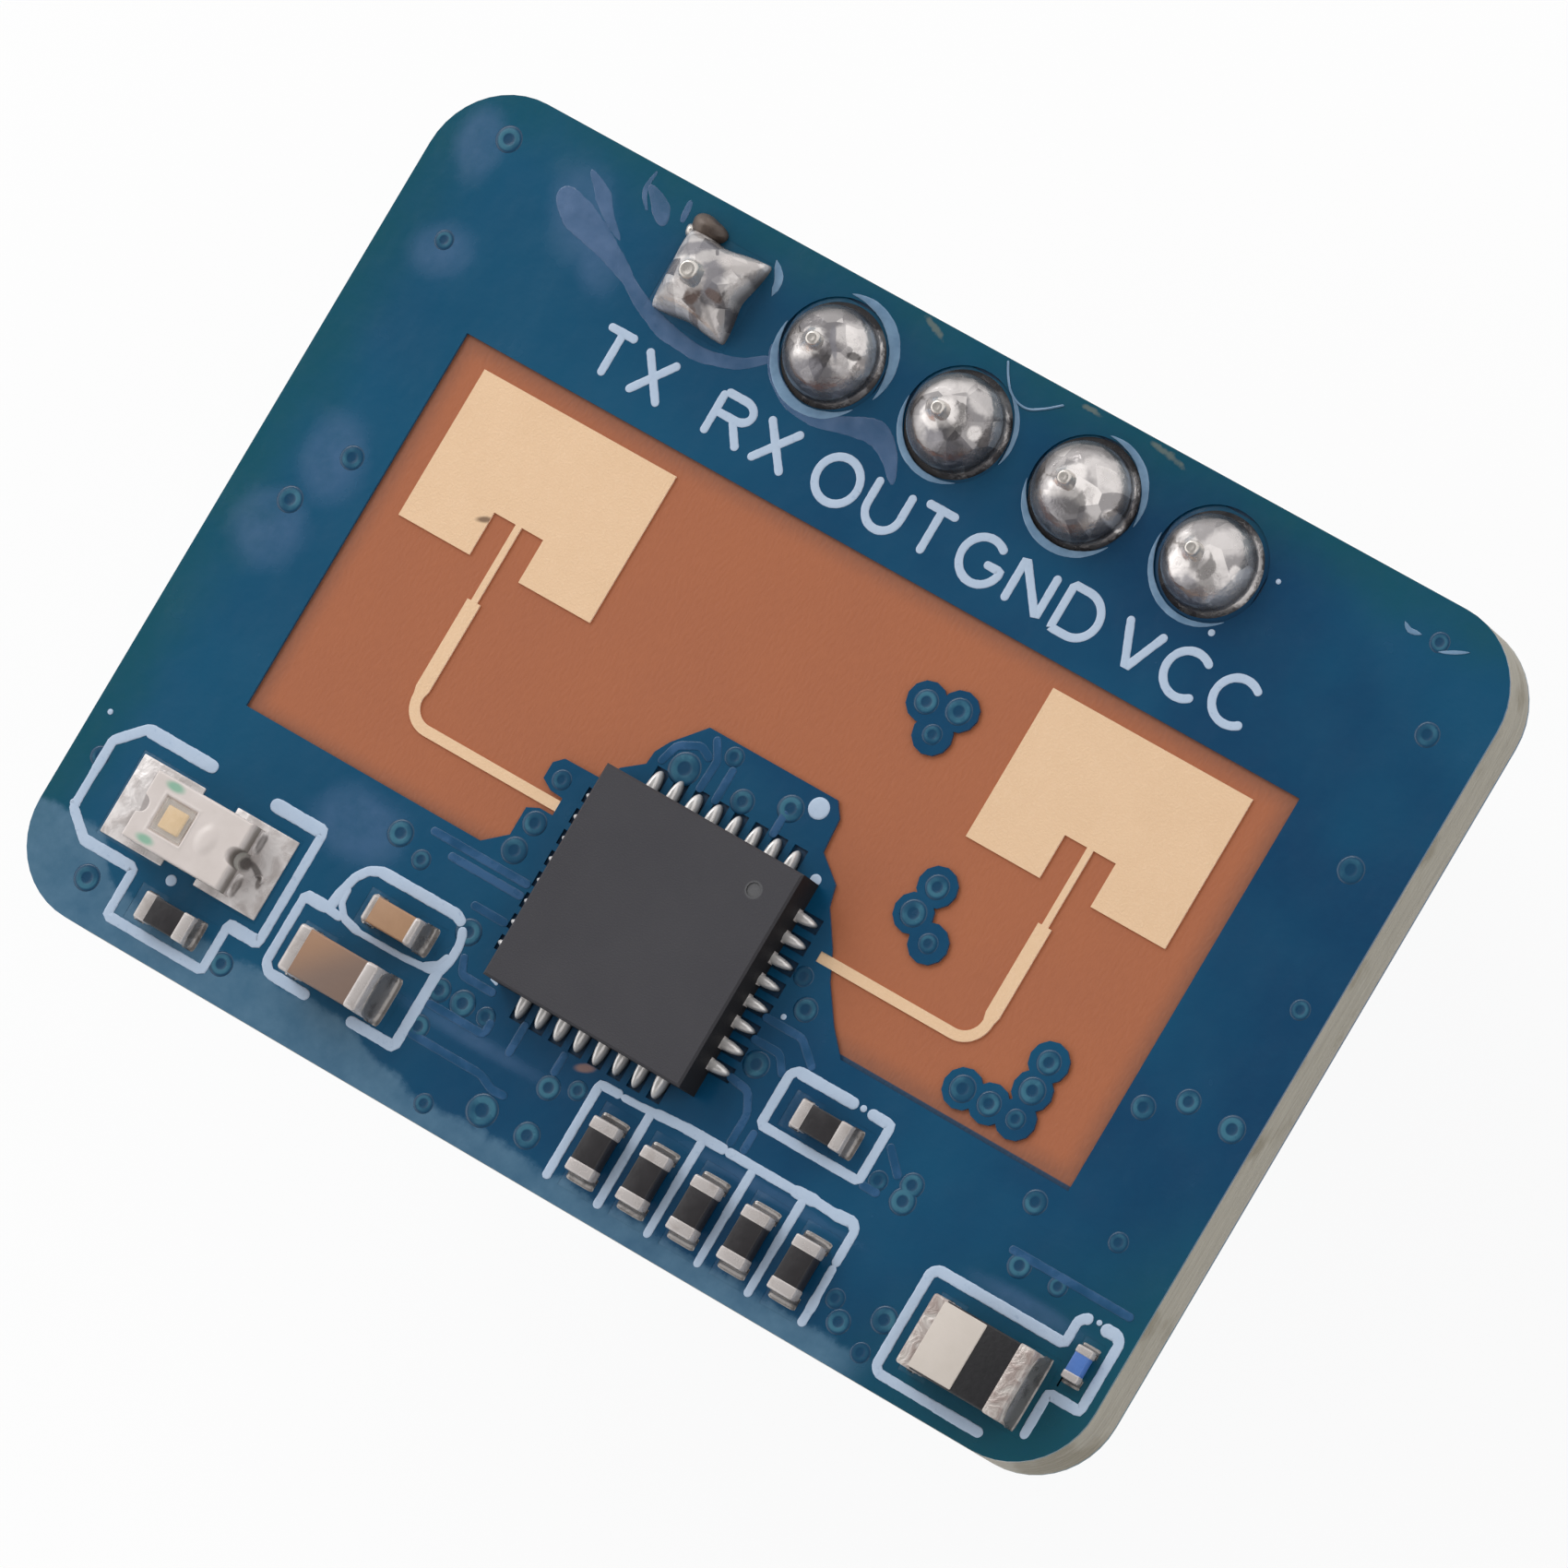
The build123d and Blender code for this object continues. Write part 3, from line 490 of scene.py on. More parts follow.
def lightLand():
    # nearly white lands; painted shade in grey lobes and a dark notch where the tin climbs the right end of
    # the light, and a grey strip by the left end
    finish = Finish("lightLand")
    cloud = finish.noise(2.6, 3.0, 0.55, 0.3)
    color = finish.mix(finish.step(cloud, 0.4, 0.66), (232, 226, 224), (196, 188, 185))
    low, high = partBox("light_housing")
    right, left, up = float(high[0]), float(low[0]), float((low[1] + high[1]) / 2)
    # painted shade on the right end's lobes, notch and solder, and a paler grey strip by the left end
    marks = [
        ((right + 0.05, up + 0.40), (0.05, 0.20), 0, (104, 98, 96), 0.8),
        ((right + 0.06, up - 0.40), (0.05, 0.18), 0, (112, 104, 100), 0.8),
        ((right - 0.02, up), (0.12, 0.13), 0, (74, 68, 66), 0.8),
        ((right + 0.22, up - 0.02), (0.20, 0.06), -30, (100, 94, 92), 0.8),
        ((right + 0.36, up - 0.16), (0.05, 0.12), 10, (120, 112, 108), 0.8),
        ((left - 0.16, up + 0.1), (0.05, 0.5), 8, (168, 160, 158), 0.8),
    ]
    color = finish.marked(color, marks, 0.35, (finish.noise(6.0, 2.0) - 0.5) * 0.8)
    return finish.coat(color, 0.22 + cloud * 0.1, 0.2, (cloud - 0.5) * 0.03)


def chipMould():
    finish = Finish("chipMould")
    grain = finish.noise(30.0, 3.0, 0.65)
    color = finish.mix(finish.noise(0.9, 2.0), (60, 59, 64), (68, 67, 71))
    color = finish.mix(finish.step(grain, 0.5, 0.8) * 0.25, color, (86, 85, 88))
    color = finish.mix(finish.blob((1.42, -1.81), (0.15, 0.15), 0.15), color, (94, 94, 96))
    # the sides painted near black, as painted shade
    color = finish.mix(finish.step(finish.facing(), 0.2, 0.9), (24, 23, 25), color)
    relief = (grain - 0.5) * 0.008
    return finish.coat(color, 0.55 + grain * 0.16, height=relief, Specular_IOR_Level=0.3)


def tanCeramic():
    # a greyer shade on the large capacitor, darker towards its right
    finish = Finish("tanCeramic")
    grain = finish.noise(5.0, 3.0, 0.6)
    tan = finish.mix(grain, (178, 140, 108), (164, 126, 96))
    grey = finish.mix(finish.step(finish.y - finish.x, -2.3, -1.2), (128, 106, 94), (158, 120, 92))
    color = finish.mix(finish.patch((-4.4, -6.375), (0.9, 0.5), 0.05), tan, grey)
    return finish.coat(color, 0.4 + grain * 0.12, height=(grain - 0.5) * 0.004)


def housingPlastic():
    # milky, with the two green marks at the end of the light
    finish = Finish("housingPlastic")
    cloud = finish.noise(2.4, 3.0)
    color = finish.mix(cloud, (228, 218, 214), (208, 198, 192))
    marks = [((-8.50, -5.58 + up), (0.17, 0.075), 0, (104, 176, 146), 0.75) for up in (0.50, -0.50)]
    color = finish.marked(color, marks, 0.5, (cloud - 0.5) * 0.6)
    color = finish.mix(finish.step(finish.z, 0.30, 0.58), (150, 142, 134), color)
    return finish.coat(color, 0.3, height=(cloud - 0.5) * 0.01)


def clearResin():
    finish = Finish("clearResin")
    return finish.coat(tint(240, 236, 228), 0.08, Alpha=0.10 + finish.noise(4.0, 3.0) * 0.1)


def plain(name, light, dark, rough, scale=8.0, metallic=0.0, depth=0.006):
    finish = Finish(name)
    grain = finish.noise(scale, 3.0, 0.6)
    relief = (grain - 0.5) * depth
    return finish.coat(finish.mix(grain, dark, light), rough + grain * 0.15, metallic, relief)


metals = {
    # slot: name, base colour, dull colour, metallic, roughness and height of the relief
    "solder": ("partSolder", (150, 145, 142), (104, 100, 98), 0.6, 0.2, 0.006),
    "tinned_metal": ("tinnedMetal", (200, 193, 190), (178, 170, 166), 0.25, 0.26, 0.004),
    "pin_metal": ("pinMetal", (214, 208, 202), (200, 193, 186), 0.7, 0.22, 0.003),
}
plains = {
    # slot: name, light colour, dark colour, roughness and scale of the grain
    "header_plastic": ("headerPlastic", (34, 34, 36), (24, 24, 26), 0.45),
    "resistor_coat": ("resistorCoat", (48, 45, 47), (36, 34, 36), 0.25, 5.0),
    "blue_coat": ("blueCoat", (96, 136, 208), (70, 112, 184), 0.25, 6.0),
    "diode_mould": ("diodeMould", (30, 29, 32), (22, 21, 24), 0.38, 10.0),
    "cream_band": ("creamBand", (216, 206, 197), (206, 196, 186), 0.42, 3.0),
    "light_laminate": ("lightLaminate", (206, 204, 198), (178, 176, 168), 0.45, 4.0),
    "amber_die": ("amberDie", (234, 204, 160), (218, 184, 134), 0.4, 9.0),
}
finishes = {
    "blue_mask": blueMask(maskLook),
    "bare_laminate": bareLaminate(window),
    "gold_plating": goldPlating(),
    "white_print": whitePrint(),
    "chip_mould": chipMould(),
    "tan_ceramic": tanCeramic(),
    "white_plastic": housingPlastic(),
    "clear_resin": clearResin(),
    **{slot: brightMetal(*look) for slot, look in metals.items()},
    **{slot: plain(*look) for slot, look in plains.items()},
}

for piece in frame["record"]["subparts"]:
    for slot in nodes[piece["node"]].material_slots:
        slot.material = finishes[piece["material_slot"]]

print("surface tools")


def distances(path):  # how far along the path each of its points lies
    return np.concatenate([[0], np.cumsum(np.hypot(*np.diff(path, axis=0).T))])


def pointsAt(path, places):  # the points that lie so far along a path
    length = distances(path)
    return np.stack([np.interp(places, length, path[:, axis]) for axis in range(2)], axis=1)


def rounded(points, spacing, softness, closed):
    # the path at even steps, each point the mean of its neighbours so that corners turn softly
    points = np.asarray(points, float)
    if closed:
        points = np.vstack([points, points[:1]])
    total = distances(points)[-1]
    path = pointsAt(points, np.linspace(0, total, max(int(total / spacing), 8) + 1))
    reach = int(softness / spacing)
    if closed:
        padded = np.concatenate([path[-1 - reach:-1], path, path[1:1 + reach]])
    else:
        before = 2 * path[0] - path[reach:0:-1]
        after = 2 * path[-1] - path[-2:-2 - reach:-1]
        padded = np.concatenate([before, path, after])
    kernel = np.ones(2 * reach + 1) / (2 * reach + 1)
    return np.stack([np.convolve(padded[:, axis], kernel, "valid") for axis in range(2)], axis=1)


def stroke(points, width, height, softness=0.05, closed=False, swell=((0, 1), (1, 1)), seed=0):
    # a low flat-topped ridge along a path: it narrows to nothing on a circle at each end
    spacing, sides, hidden = 0.05, 16, 0.012
    fine = rounded(points, spacing / 4, softness, closed)
    total, radius = distances(fine)[-1], width / 2
    if closed:
        place = np.linspace(0, total, max(int(total / spacing), 12))
        fade = np.ones(len(place))
    else:
        cap = radius * (1 - np.cos(np.linspace(0, np.pi / 2, 6)))
        body = np.linspace(radius, total - radius, max(int((total - width) / spacing), 2) + 1)
        place = np.concatenate([cap[:-1], body, total - cap[-2::-1]])
        near = np.clip(1 - np.minimum(place, total - place) / radius, 0, 1)
        fade = np.sqrt(1 - near ** 2)
    run = pointsAt(fine, place + 0.01) - pointsAt(fine, place - 0.01)
    run /= np.maximum(np.hypot(*run.T), 1e-9)[:, None]
    sideways = np.stack([-run[:, 1], run[:, 0]], axis=1)
    waves = np.random.default_rng(seed).uniform(0, 2 * np.pi, 3)
    uneven = 1 + 0.02 * np.sin(place[:, None] * np.array([9, 23, 51]) + waves).sum(axis=1) * (not closed)
    fractions, factors = np.array(swell, float).T
    half = radius * fade * uneven * np.interp(place / total, fractions, factors)
    angle = np.linspace(0, 2 * np.pi, sides + 1)
    across = np.sign(np.cos(angle)) * np.abs(np.cos(angle)) ** 0.5
    side = np.where(np.sin(angle) > 0, height, -hidden * np.sign(-np.sin(angle)))
    grid = np.zeros((len(place), sides + 1, 3))
    grid[..., :2] = pointsAt(fine, place)[:, None] + sideways[:, None] * (half[:, None] * across)[..., None]
    grid[..., 2] = fade[:, None] ** 0.3 * side * np.abs(np.sin(angle)) ** 0.6
    return grid


def arc(x, y, wide, tall, start, stop, count=24):
    # points on an ellipse: its middle plus the cosine and sine of the angle times its half sizes
    angle = np.radians(np.linspace(start, stop, count))
    return np.stack([x + wide * np.cos(angle), y + tall * np.sin(angle)], axis=1)


def turned(profile, places, sides=24):
    # a profile of radius and height carried round each place
    angle = np.linspace(0, 2 * np.pi, sides + 1)
    radius, height = np.asarray(profile, float).T[..., None]
    ring = np.stack([radius * np.cos(angle), radius * np.sin(angle), height + 0 * angle], axis=-1)
    shift = np.pad(np.asarray(places, float), ((0, 0), (0, 1)))
    return ring[None] + shift[:, None, None, :]


def capped(grid):  # closes the first and last rows at their middles
    first = np.broadcast_to(grid[..., :1, :-1, :].mean(axis=-2, keepdims=True), grid[..., :1, :, :].shape)
    last = np.broadcast_to(grid[..., -1:, :-1, :].mean(axis=-2, keepdims=True), grid[..., -1:, :, :].shape)
    return np.concatenate([first, grid, last], axis=-3)


cornerSteps = 4


def squareRing(half, radius):
    # a rounded rectangle as a closed ring: each corner's arc stands on its own corner of the core
    quarters = [np.linspace(quarter, quarter + 1, cornerSteps) for quarter in range(4)]
    turn = np.concatenate(quarters) * np.pi / 2
    side = np.repeat([[1, 1], [-1, 1], [-1, -1], [1, -1]], cornerSteps, axis=0)
    ring = side * (np.asarray(half, float) - radius) + radius * np.stack([np.cos(turn), np.sin(turn)], axis=1)
    return np.vstack([ring, ring[:1]])


def atHeight(ring, height):
    # a flat ring with one height for all its points
    return np.hstack([ring, np.full((len(ring), 1), height)])


def lofted(stations, place):
    # rounded squares of (height, half side, corner radius), joined from the first to the last
    rings = [atHeight(squareRing((half, half), radius) + place, height) for height, half, radius in stations]
    return capped(np.stack(rings))


def roundedBox(low, high, radius):
    # rounded rectangles from top to bottom: at both ends they draw in by the radius times one less the
    # sine of an angle, and stand past the straight wall by the radius times its cosine
    low, high = np.asarray(low, float), np.asarray(high, float)
    quarter = np.linspace(0, np.pi / 2, cornerSteps)
    half, centre = (high - low) / 2, (high + low) / 2
    rings = []
    for up, angles in ((1, quarter), (-1, quarter + np.pi / 2)):
        for angle in angles:
            inset = radius * (1 - np.sin(angle))
            ring = squareRing(half[:2] - inset, max(radius - inset, 1e-6)) + centre[:2]
            rings.append(atHeight(ring, centre[2] + up * (half[2] - radius) + radius * np.cos(angle)))
    return capped(np.stack(rings))


def upTurned(grid, place, along):  # stands a grid at a place, with its length along x or y
    x, y = (grid[..., 0], grid[..., 1]) if along == 0 else (-grid[..., 1], grid[..., 0])
    return np.stack([x + place[0], y + place[1], grid[..., 2]], axis=-1)


def addPiece(name, grids, slot, replaced=(), sharp=None, finish=None):
    # each grid is one or a stack of (rows, columns) of points; quads join neighbours in index order
    points, faces, used = [], [], 0
    for grid in grids:
        stack = grid.reshape(-1, *grid.shape[-3:])
        count, rows, columns = stack.shape[:3]
        corner = (np.arange(rows - 1)[:, None] * columns + np.arange(columns - 1)).ravel()
        quads = np.stack([corner, corner + 1, corner + columns + 1, corner + columns], axis=1)
        starts = np.arange(count) * rows * columns + used
        faces.append((quads[None] + starts[:, None, None]).reshape(-1, 4))
        points.append(stack.reshape(-1, 3))
        used += count * rows * columns
    mesh = bpy.data.meshes.new(name)
    mesh.from_pydata((np.concatenate(points) + middle) * mm, [], np.concatenate(faces))
    work = bmesh.new()
    work.from_mesh(mesh)
    bmesh.ops.remove_doubles(work, verts=work.verts, dist=0.0001 * mm)
    bmesh.ops.recalc_face_normals(work, faces=work.faces)
    work.to_mesh(mesh)
    work.free()
    mesh.polygons.foreach_set("use_smooth", np.ones(len(mesh.polygons), bool))
    if sharp:
        mesh.set_sharp_from_angle(angle=np.radians(sharp))
    mesh.materials.append(finish or finishes[slot])
    piece = bpy.data.objects.new(name, mesh)
    bpy.context.scene.collection.objects.link(piece)
    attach(piece, "root")
    if replaced:
        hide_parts(*replaced)
    print(f"  {name}: {len(mesh.polygons)} faces")


print("pin labels")
label = {"top": 5.13, "foot": 4.325, "width": 0.148, "height": 0.012, "softness": 0.02}


def labelStrokes(look):
    # letters of straight strokes and parts of ellipses, between the line of their tops and of their feet
    top, foot = look["top"], look["foot"]
    waist, tall = (top + foot) / 2, (top - foot) / 2

    def crossed(left, right):
        return [[(left, top), (right, foot)], [(right, top), (left, foot)]]

    def tee(left, right, stem):
        return [[(left, top), (right, top)], [(stem, top), (stem, foot)]]

    opened = [
        *tee(-6.275, -5.69, -5.974), *crossed(-5.425, -4.805),
        [(-3.848, top), (-3.848, foot)],
        np.vstack([[(-3.848, top)], arc(-3.44, 4.945, 0.235, 0.185, 90, -90), [(-3.848, 4.76)]]),
        [(-3.50, 4.76), (-3.175, foot)], *crossed(-2.915, -2.265),
        np.vstack([[(-0.669, top)], arc(-0.339, foot + 0.33, 0.33, 0.33, 180, 360), [(-0.008, top)]]),
        *tee(0.239, 0.875, 0.557),
        np.vstack([arc(1.597, waist, 0.395, tall, 42, 350), [(1.985, 4.71), (1.66, 4.71)]]),
        [(2.265, foot), (2.265, top), (2.915, foot), (2.915, top)],
        [(4.352, top), (4.705, foot), (5.059, top)],
        arc(5.70, waist, 0.40, tall, 42, 318), arc(6.67, waist, 0.405, tall, 42, 318),
    ]
    closed = [
        arc(-1.328, waist, 0.397, tall, 0, 345),
        np.vstack([[(3.223, foot), (3.223, top)], arc(3.523, waist, 0.402, tall, 90, -90)]),
    ]
    size = look["width"], look["height"], look["softness"]
    grids = [stroke(path, *size, seed=number) for number, path in enumerate(opened)]
    return grids + [stroke(path, *size, closed=True) for path in closed]


addPiece("pinLabels", labelStrokes(label), "white_print")

print("printed outlines")
outline = {
    "height": 0.014,
    # each path, with the width of each of its parts
    "paths": [
        ([(-8.27, -4.47), (-9.74, -4.47), (-10.19, -4.92), (-10.19, -5.5), (-10.19, -6.20), (-9.72, -6.58),
          (-8.66, -6.58), (-8.66, -7.47), (-6.665, -7.47), (-6.665, -6.60), (-6.035, -6.60), (-6.035, -4.49),
          (-7.13, -4.49)], [0.24, 0.19, 0.18, 0.16, 0.18, 0.21, 0.17, 0.18, 0.17, 0.24, 0.175, 0.25]),
        ([(-10.20, -6.05), (-10.20, -6.22)], [0.21]),
        ([(-5.26, -5.53), (-5.21, -5.15), (-5.13, -4.86), (-4.98, -4.66), (-4.78, -4.57), (-3.22, -4.56),
          (-3.02, -4.66)], [0.20, 0.17, 0.17, 0.18, 0.21, 0.19]),
        ([(-5.12, -5.05), (-5.10, -5.35), (-4.93, -5.54), (-4.6, -5.62), (-3.7, -5.61), (-3.2, -5.57),
          (-2.98, -5.5)], [0.1, 0.13, 0.15, 0.11, 0.12, 0.16]),
        ([(-3.02, -4.68), (-2.93, -4.86), (-2.90, -5.0), (-2.90, -5.25), (-2.99, -5.55), (-2.99, -6.95),
          (-3.97, -6.95)], [0.17, 0.16, 0.17, 0.18, 0.20, 0.20]),
        ([(-2.98, -5.2), (-3.06, -5.42), (-3.3, -5.57)], [0.1, 0.12]),
        ([(-4.95, -5.57), (-5.30, -5.53), (-5.74, -5.53), (-5.74, -6.80), (-5.60, -6.94), (-4.75, -6.95)],
         [0.16, 0.22, 0.17, 0.18, 0.20]),
        ([(9.33, -7.545), (8.4, -7.545), (7.25, -7.54), (7.15, -7.44), (7.15, -5.72), (7.25, -5.62),
          (9.75, -5.62), (9.75, -5.20), (9.85, -5.09), (9.97, -5.09)],
         [0.19, 0.17, 0.18, 0.185, 0.19, 0.20, 0.17, 0.19, 0.21]),
        ([(10.15, -5.10), (10.46, -5.09), (10.56, -5.19), (10.56, -6.44), (9.94, -6.44), (9.94, -7.28)],
         [0.23, 0.20, 0.18, 0.19, 0.17]),
        ([(4.60, -3.98), (3.38, -3.98), (3.29, -4.08), (3.29, -5.03), (5.265, -5.03), (5.265, -3.99),
          (4.80, -3.98)], [0.21, 0.17, 0.18, 0.17, 0.17, 0.20]),
        ([(0.505, -7.56), (0.505, -6.4), (0.505, -5.77), (0.95, -5.76)], [0.165, 0.17, 0.165]),
        ([(0.93, -5.77), (1.3, -5.76), (1.62, -5.73), (2.2, -5.69), (3.03, -5.68)], [0.13, 0.14, 0.18, 0.19]),
        ([(1.54, -7.56), (1.54, -5.72)], [0.165]),
        ([(3.00, -5.68), (4.4, -5.68), (4.8, -5.66), (5.2, -5.68), (5.55, -5.65), (5.65, -5.76),
          (5.65, -6.42)], [0.17, 0.22, 0.18, 0.21, 0.19, 0.165]),
        ([(5.65, -6.40), (5.66, -7.0), (5.67, -7.2), (5.66, -7.53)], [0.15, 0.19, 0.16]),
        *[([(x, -7.56), (x, -6.6), (x + 0.01, -5.72)], [0.15, 0.165]) for x in (2.555, 3.575, 4.595)],
    ],
    # each dot's place and radius: the first marks the chip's first pin
    "dots": [
        ((1.35, -0.10), 0.19), ((4.70, -3.97), 0.06), ((10.08, -5.05), 0.05), ((-7.97, -6.44), 0.10),
        ((-10.50, -4.53), 0.05), ((1.94, -1.14), 0.10), ((6.25, 6.77), 0.045), ((5.70, 5.52), 0.06),
        ((2.68, -3.33), 0.05),
    ],
    # stray bits of ink: path and width
    "strays": [(arc(1.80, -4.95, 0.22, 0.2, 330, 250, 8), 0.07), ([(-2.12, -5.17), (-1.96, -5.22)], 0.06)],
}


def banded(points, widths, height, seed):
    # one printed path whose parts each have their own width, with a short blend between them
    lengths = np.hypot(*np.diff(np.array(points), axis=0).T)
    stops = np.concatenate([[0], np.cumsum(lengths)]) / lengths.sum()
    blend = 0.04 / lengths.sum()
    base = max(widths[0], widths[-1])
    swell = []
    for number, width in enumerate(widths):
        swell += [(stops[number] + blend, width / base), (stops[number + 1] - blend, width / base)]
    return stroke(points, base, height, softness=0.04, swell=swell, seed=seed)


def outlineStrokes(look):
    # the printed paths, dots whose edges slope down to the mask, and stray bits of ink
    edge, low = look["height"], -0.012
    grids = [banded(*path, edge, number) for number, path in enumerate(look["paths"])]
    for place, radius in look["dots"]:
        slope = [(radius * 0.8, edge), (radius * 0.95, edge * 0.7), (radius, 0), (radius, low)]
        grids.append(turned([(0, edge), *slope, (0, low)], [place]))
    return grids + [stroke(path, width, 0.012) for path, width in look["strays"]]


addPiece("printedOutlines", outlineStrokes(outline), "white_print", ["outline_print"])

print("solder joints")
joint = {
    "foot": 0.965, "rim": 0.875, "height": 0.78, "rows": 60, "sides": 144, "keen": 60.0, "cone": 0.22,
    # facets of a joint: the way each faces in degrees, its slope, and its height over the pin
    "facets": [
        (72, 0.46, 0.97), (208, 0.55, 1.00), (268, 0.50, 0.95), (325, 0.30, 0.88), (8, 0.78, 1.08),
        (140, 0.52, 0.98),
    ],
    "unevenness": 0.07, "overPin": 0.20, "footTop": -0.03, "rimFoot": -0.02,
    # the first joint: the reach of its tips by their way in degrees, and its waist between them
    "starTips": {44: 1.13, 136: 1.06, 227: 1.01, 316: 1.06}, "starWaist": 0.68, "starHeight": 0.62,
    "starCone": 0.28, "starOverPin": 0.17,
    "pinTip": 0.13, "firstPinTip": 0.17, "sizes": (1.0, 0.95, 0.97, 1.0, 0.935),
    "well": 0.95, "wellTop": -0.034, "wellEdge": 0.008,
}


def jointHeight(x, y, reach, number, look):
    # the lowest of a steep round rim and a few uneven facets, all joined softly
    chance = np.random.default_rng(60 + number)
    surfaces = [look["height"] * np.sqrt(np.clip(1 - reach ** 2.3, 0, 1)) + look["cone"] * (1 - reach)]
    for turn, slope, start in look["facets"]:
        shift = chance.uniform(-1, 1, 3) * look["unevenness"]
        angle = np.radians(turn + 200 * shift[0])
        out = x * np.cos(angle) + y * np.sin(angle)
        surfaces.append(start + shift[1] * 0.4 - (slope + shift[2]) * out)
    keen = look["keen"]
    z = -np.log(sum(np.exp(-keen * surface) for surface in surfaces)) / keen
    return z + look["overPin"] * np.exp(-((x + 0.02) ** 2 + y ** 2) / 0.035)


def starHeight(angle, reach, look):
    # a steep-sided mound whose four tips are drawn out low over the corners of the square land
    tips = sorted(look["starTips"])
    circle = 2 * np.pi
    gap = np.array([np.abs((angle - np.radians(tip) + np.pi) % circle - np.pi) for tip in tips])
    near = np.clip(1 - gap.min(axis=0) / np.radians(45), 0, 1)
    tip = np.array([look["starTips"][turn] for turn in tips])[gap.argmin(axis=0)]
    spread = look["starWaist"] + (tip - look["starWaist"]) * near ** 1.9
    z = look["starHeight"] * np.sqrt(1 - reach ** 5.0) * (1 - 0.45 * near ** 1.3 * reach ** 1.5)
    return spread, z + look["starCone"] * (1 - reach) ** 1.1


def jointSurface(number, look):
    # rings round the pin, from the foot over the rim to the middle: a ring's radius is its reach times
    # that of the rim, and the reach is an even step from 1 to 0 to the power of 0.7
    place, _ = pinPlace(number)
    angle = np.linspace(0, 2 * np.pi, look["sides"] + 1)
    reach = np.linspace(1, 0, look["rows"])[:, None] ** 0.7
    if number == 1:
        spread, z = starHeight(angle, reach, look)
        x, y = reach * spread * np.cos(angle), reach * spread * np.sin(angle)
        wave = 0.03 * np.sin(8 * x + 1) * np.sin(7 * y + 0.5) * (1 - reach ** 3)
        z = z + wave + look["starOverPin"] * np.exp(-(x ** 2 + y ** 2) / 0.07)
    else:
        x, y = reach * look["rim"] * np.cos(angle), reach * look["rim"] * np.sin(angle)
        z = jointHeight(x, y, reach, number, look)
    grid = np.stack([x, y, np.where(reach >= 1, look["rimFoot"], z)], axis=-1)
    flat = grid[:1] * (1.0 if number == 1 else look["foot"] / look["rim"])
    flat[..., 2] = look["footTop"]
    foot = flat.copy()
    foot[..., 2] = laminateTop
    base = np.broadcast_to(np.array([0, 0, laminateTop]), grid[:1].shape)
    grid = np.concatenate([base, foot, flat, grid])
    grid[..., :2] = grid[..., :2] * look["sizes"][number - 1] + place
    return grid


def padWell(number, look):  # the mask that shows in the gap round a joint
    pin, _ = pinPlace(number)
    top = justUnderMask if number == 1 else look["wellTop"]
    return roundedBox([*(pin - look["well"]), laminateTop], [*(pin + look["well"]), top], look["wellEdge"])


for number in range(1, 6):
    piece = f"pinJoint{number}", [jointSurface(number, joint)], "solder", [f"pin_solder_{number}"]
    addPiece(*piece, finish=jointSolder(number))
addPiece("padWells", [padWell(number, joint) for number in range(1, 6)], "blue_mask")


def lumpGrid(place, wide, tall, high):  # half an uneven egg
    tilt, turn = np.linspace(0, np.pi / 2, 12)[:, None], np.linspace(0, 2 * np.pi, 37)
    swell = 1 + 0.12 * np.sin(3 * turn + 1) * np.cos(tilt)
    x = place[0] + np.cos(tilt) * np.cos(turn) * wide * swell
    y = place[1] + np.cos(tilt) * np.sin(turn) * tall * swell
    return capped(np.stack([x, y, np.sin(tilt) * high - 0.012 + 0 * turn], axis=-1))


burnt = plain("burntFlux", (112, 98, 88), (44, 34, 32), 0.3, 4.0, 0.3, 0.02)
addPiece("burntLump", [lumpGrid((-5.60, 7.30), 0.34, 0.24, 0.30)], "solder", finish=burnt)
addPiece("tinBead", [lumpGrid((-5.82, 7.16), 0.14, 0.12, 0.22)], "solder", finish=finishes["pin_metal"])

print("header pins")


def headerPin(number, look):
    # a square pin whose end narrows to a soft tip in the solder
    place, top = pinPlace(number)
    low = partBox(f"header_pin_{number}")[0][2]
    tip = look["firstPinTip"] if number == 1 else look["pinTip"]
    return lofted([
        (low, 0.18, 0.03), (low + 0.14, 0.32, 0.03), (0.20, 0.32, 0.05), (0.50, 0.29, 0.10),
        (0.80, tip + 0.06, 0.14), (top - 0.13, tip + 0.01, tip), (top - 0.06, tip, tip - 0.01),
        (top - 0.02, tip - 0.02, tip - 0.03), (top - 0.004, tip - 0.04, tip - 0.05),
        (top, tip - 0.06, tip - 0.07), (top - 0.006, tip - 0.09, tip - 0.10),
    ], place)


for number in range(1, 6):
    piece = f"headerPin{number}", [headerPin(number, joint)], "pin_metal", [f"header_pin_{number}"]
    addPiece(*piece, sharp=50)

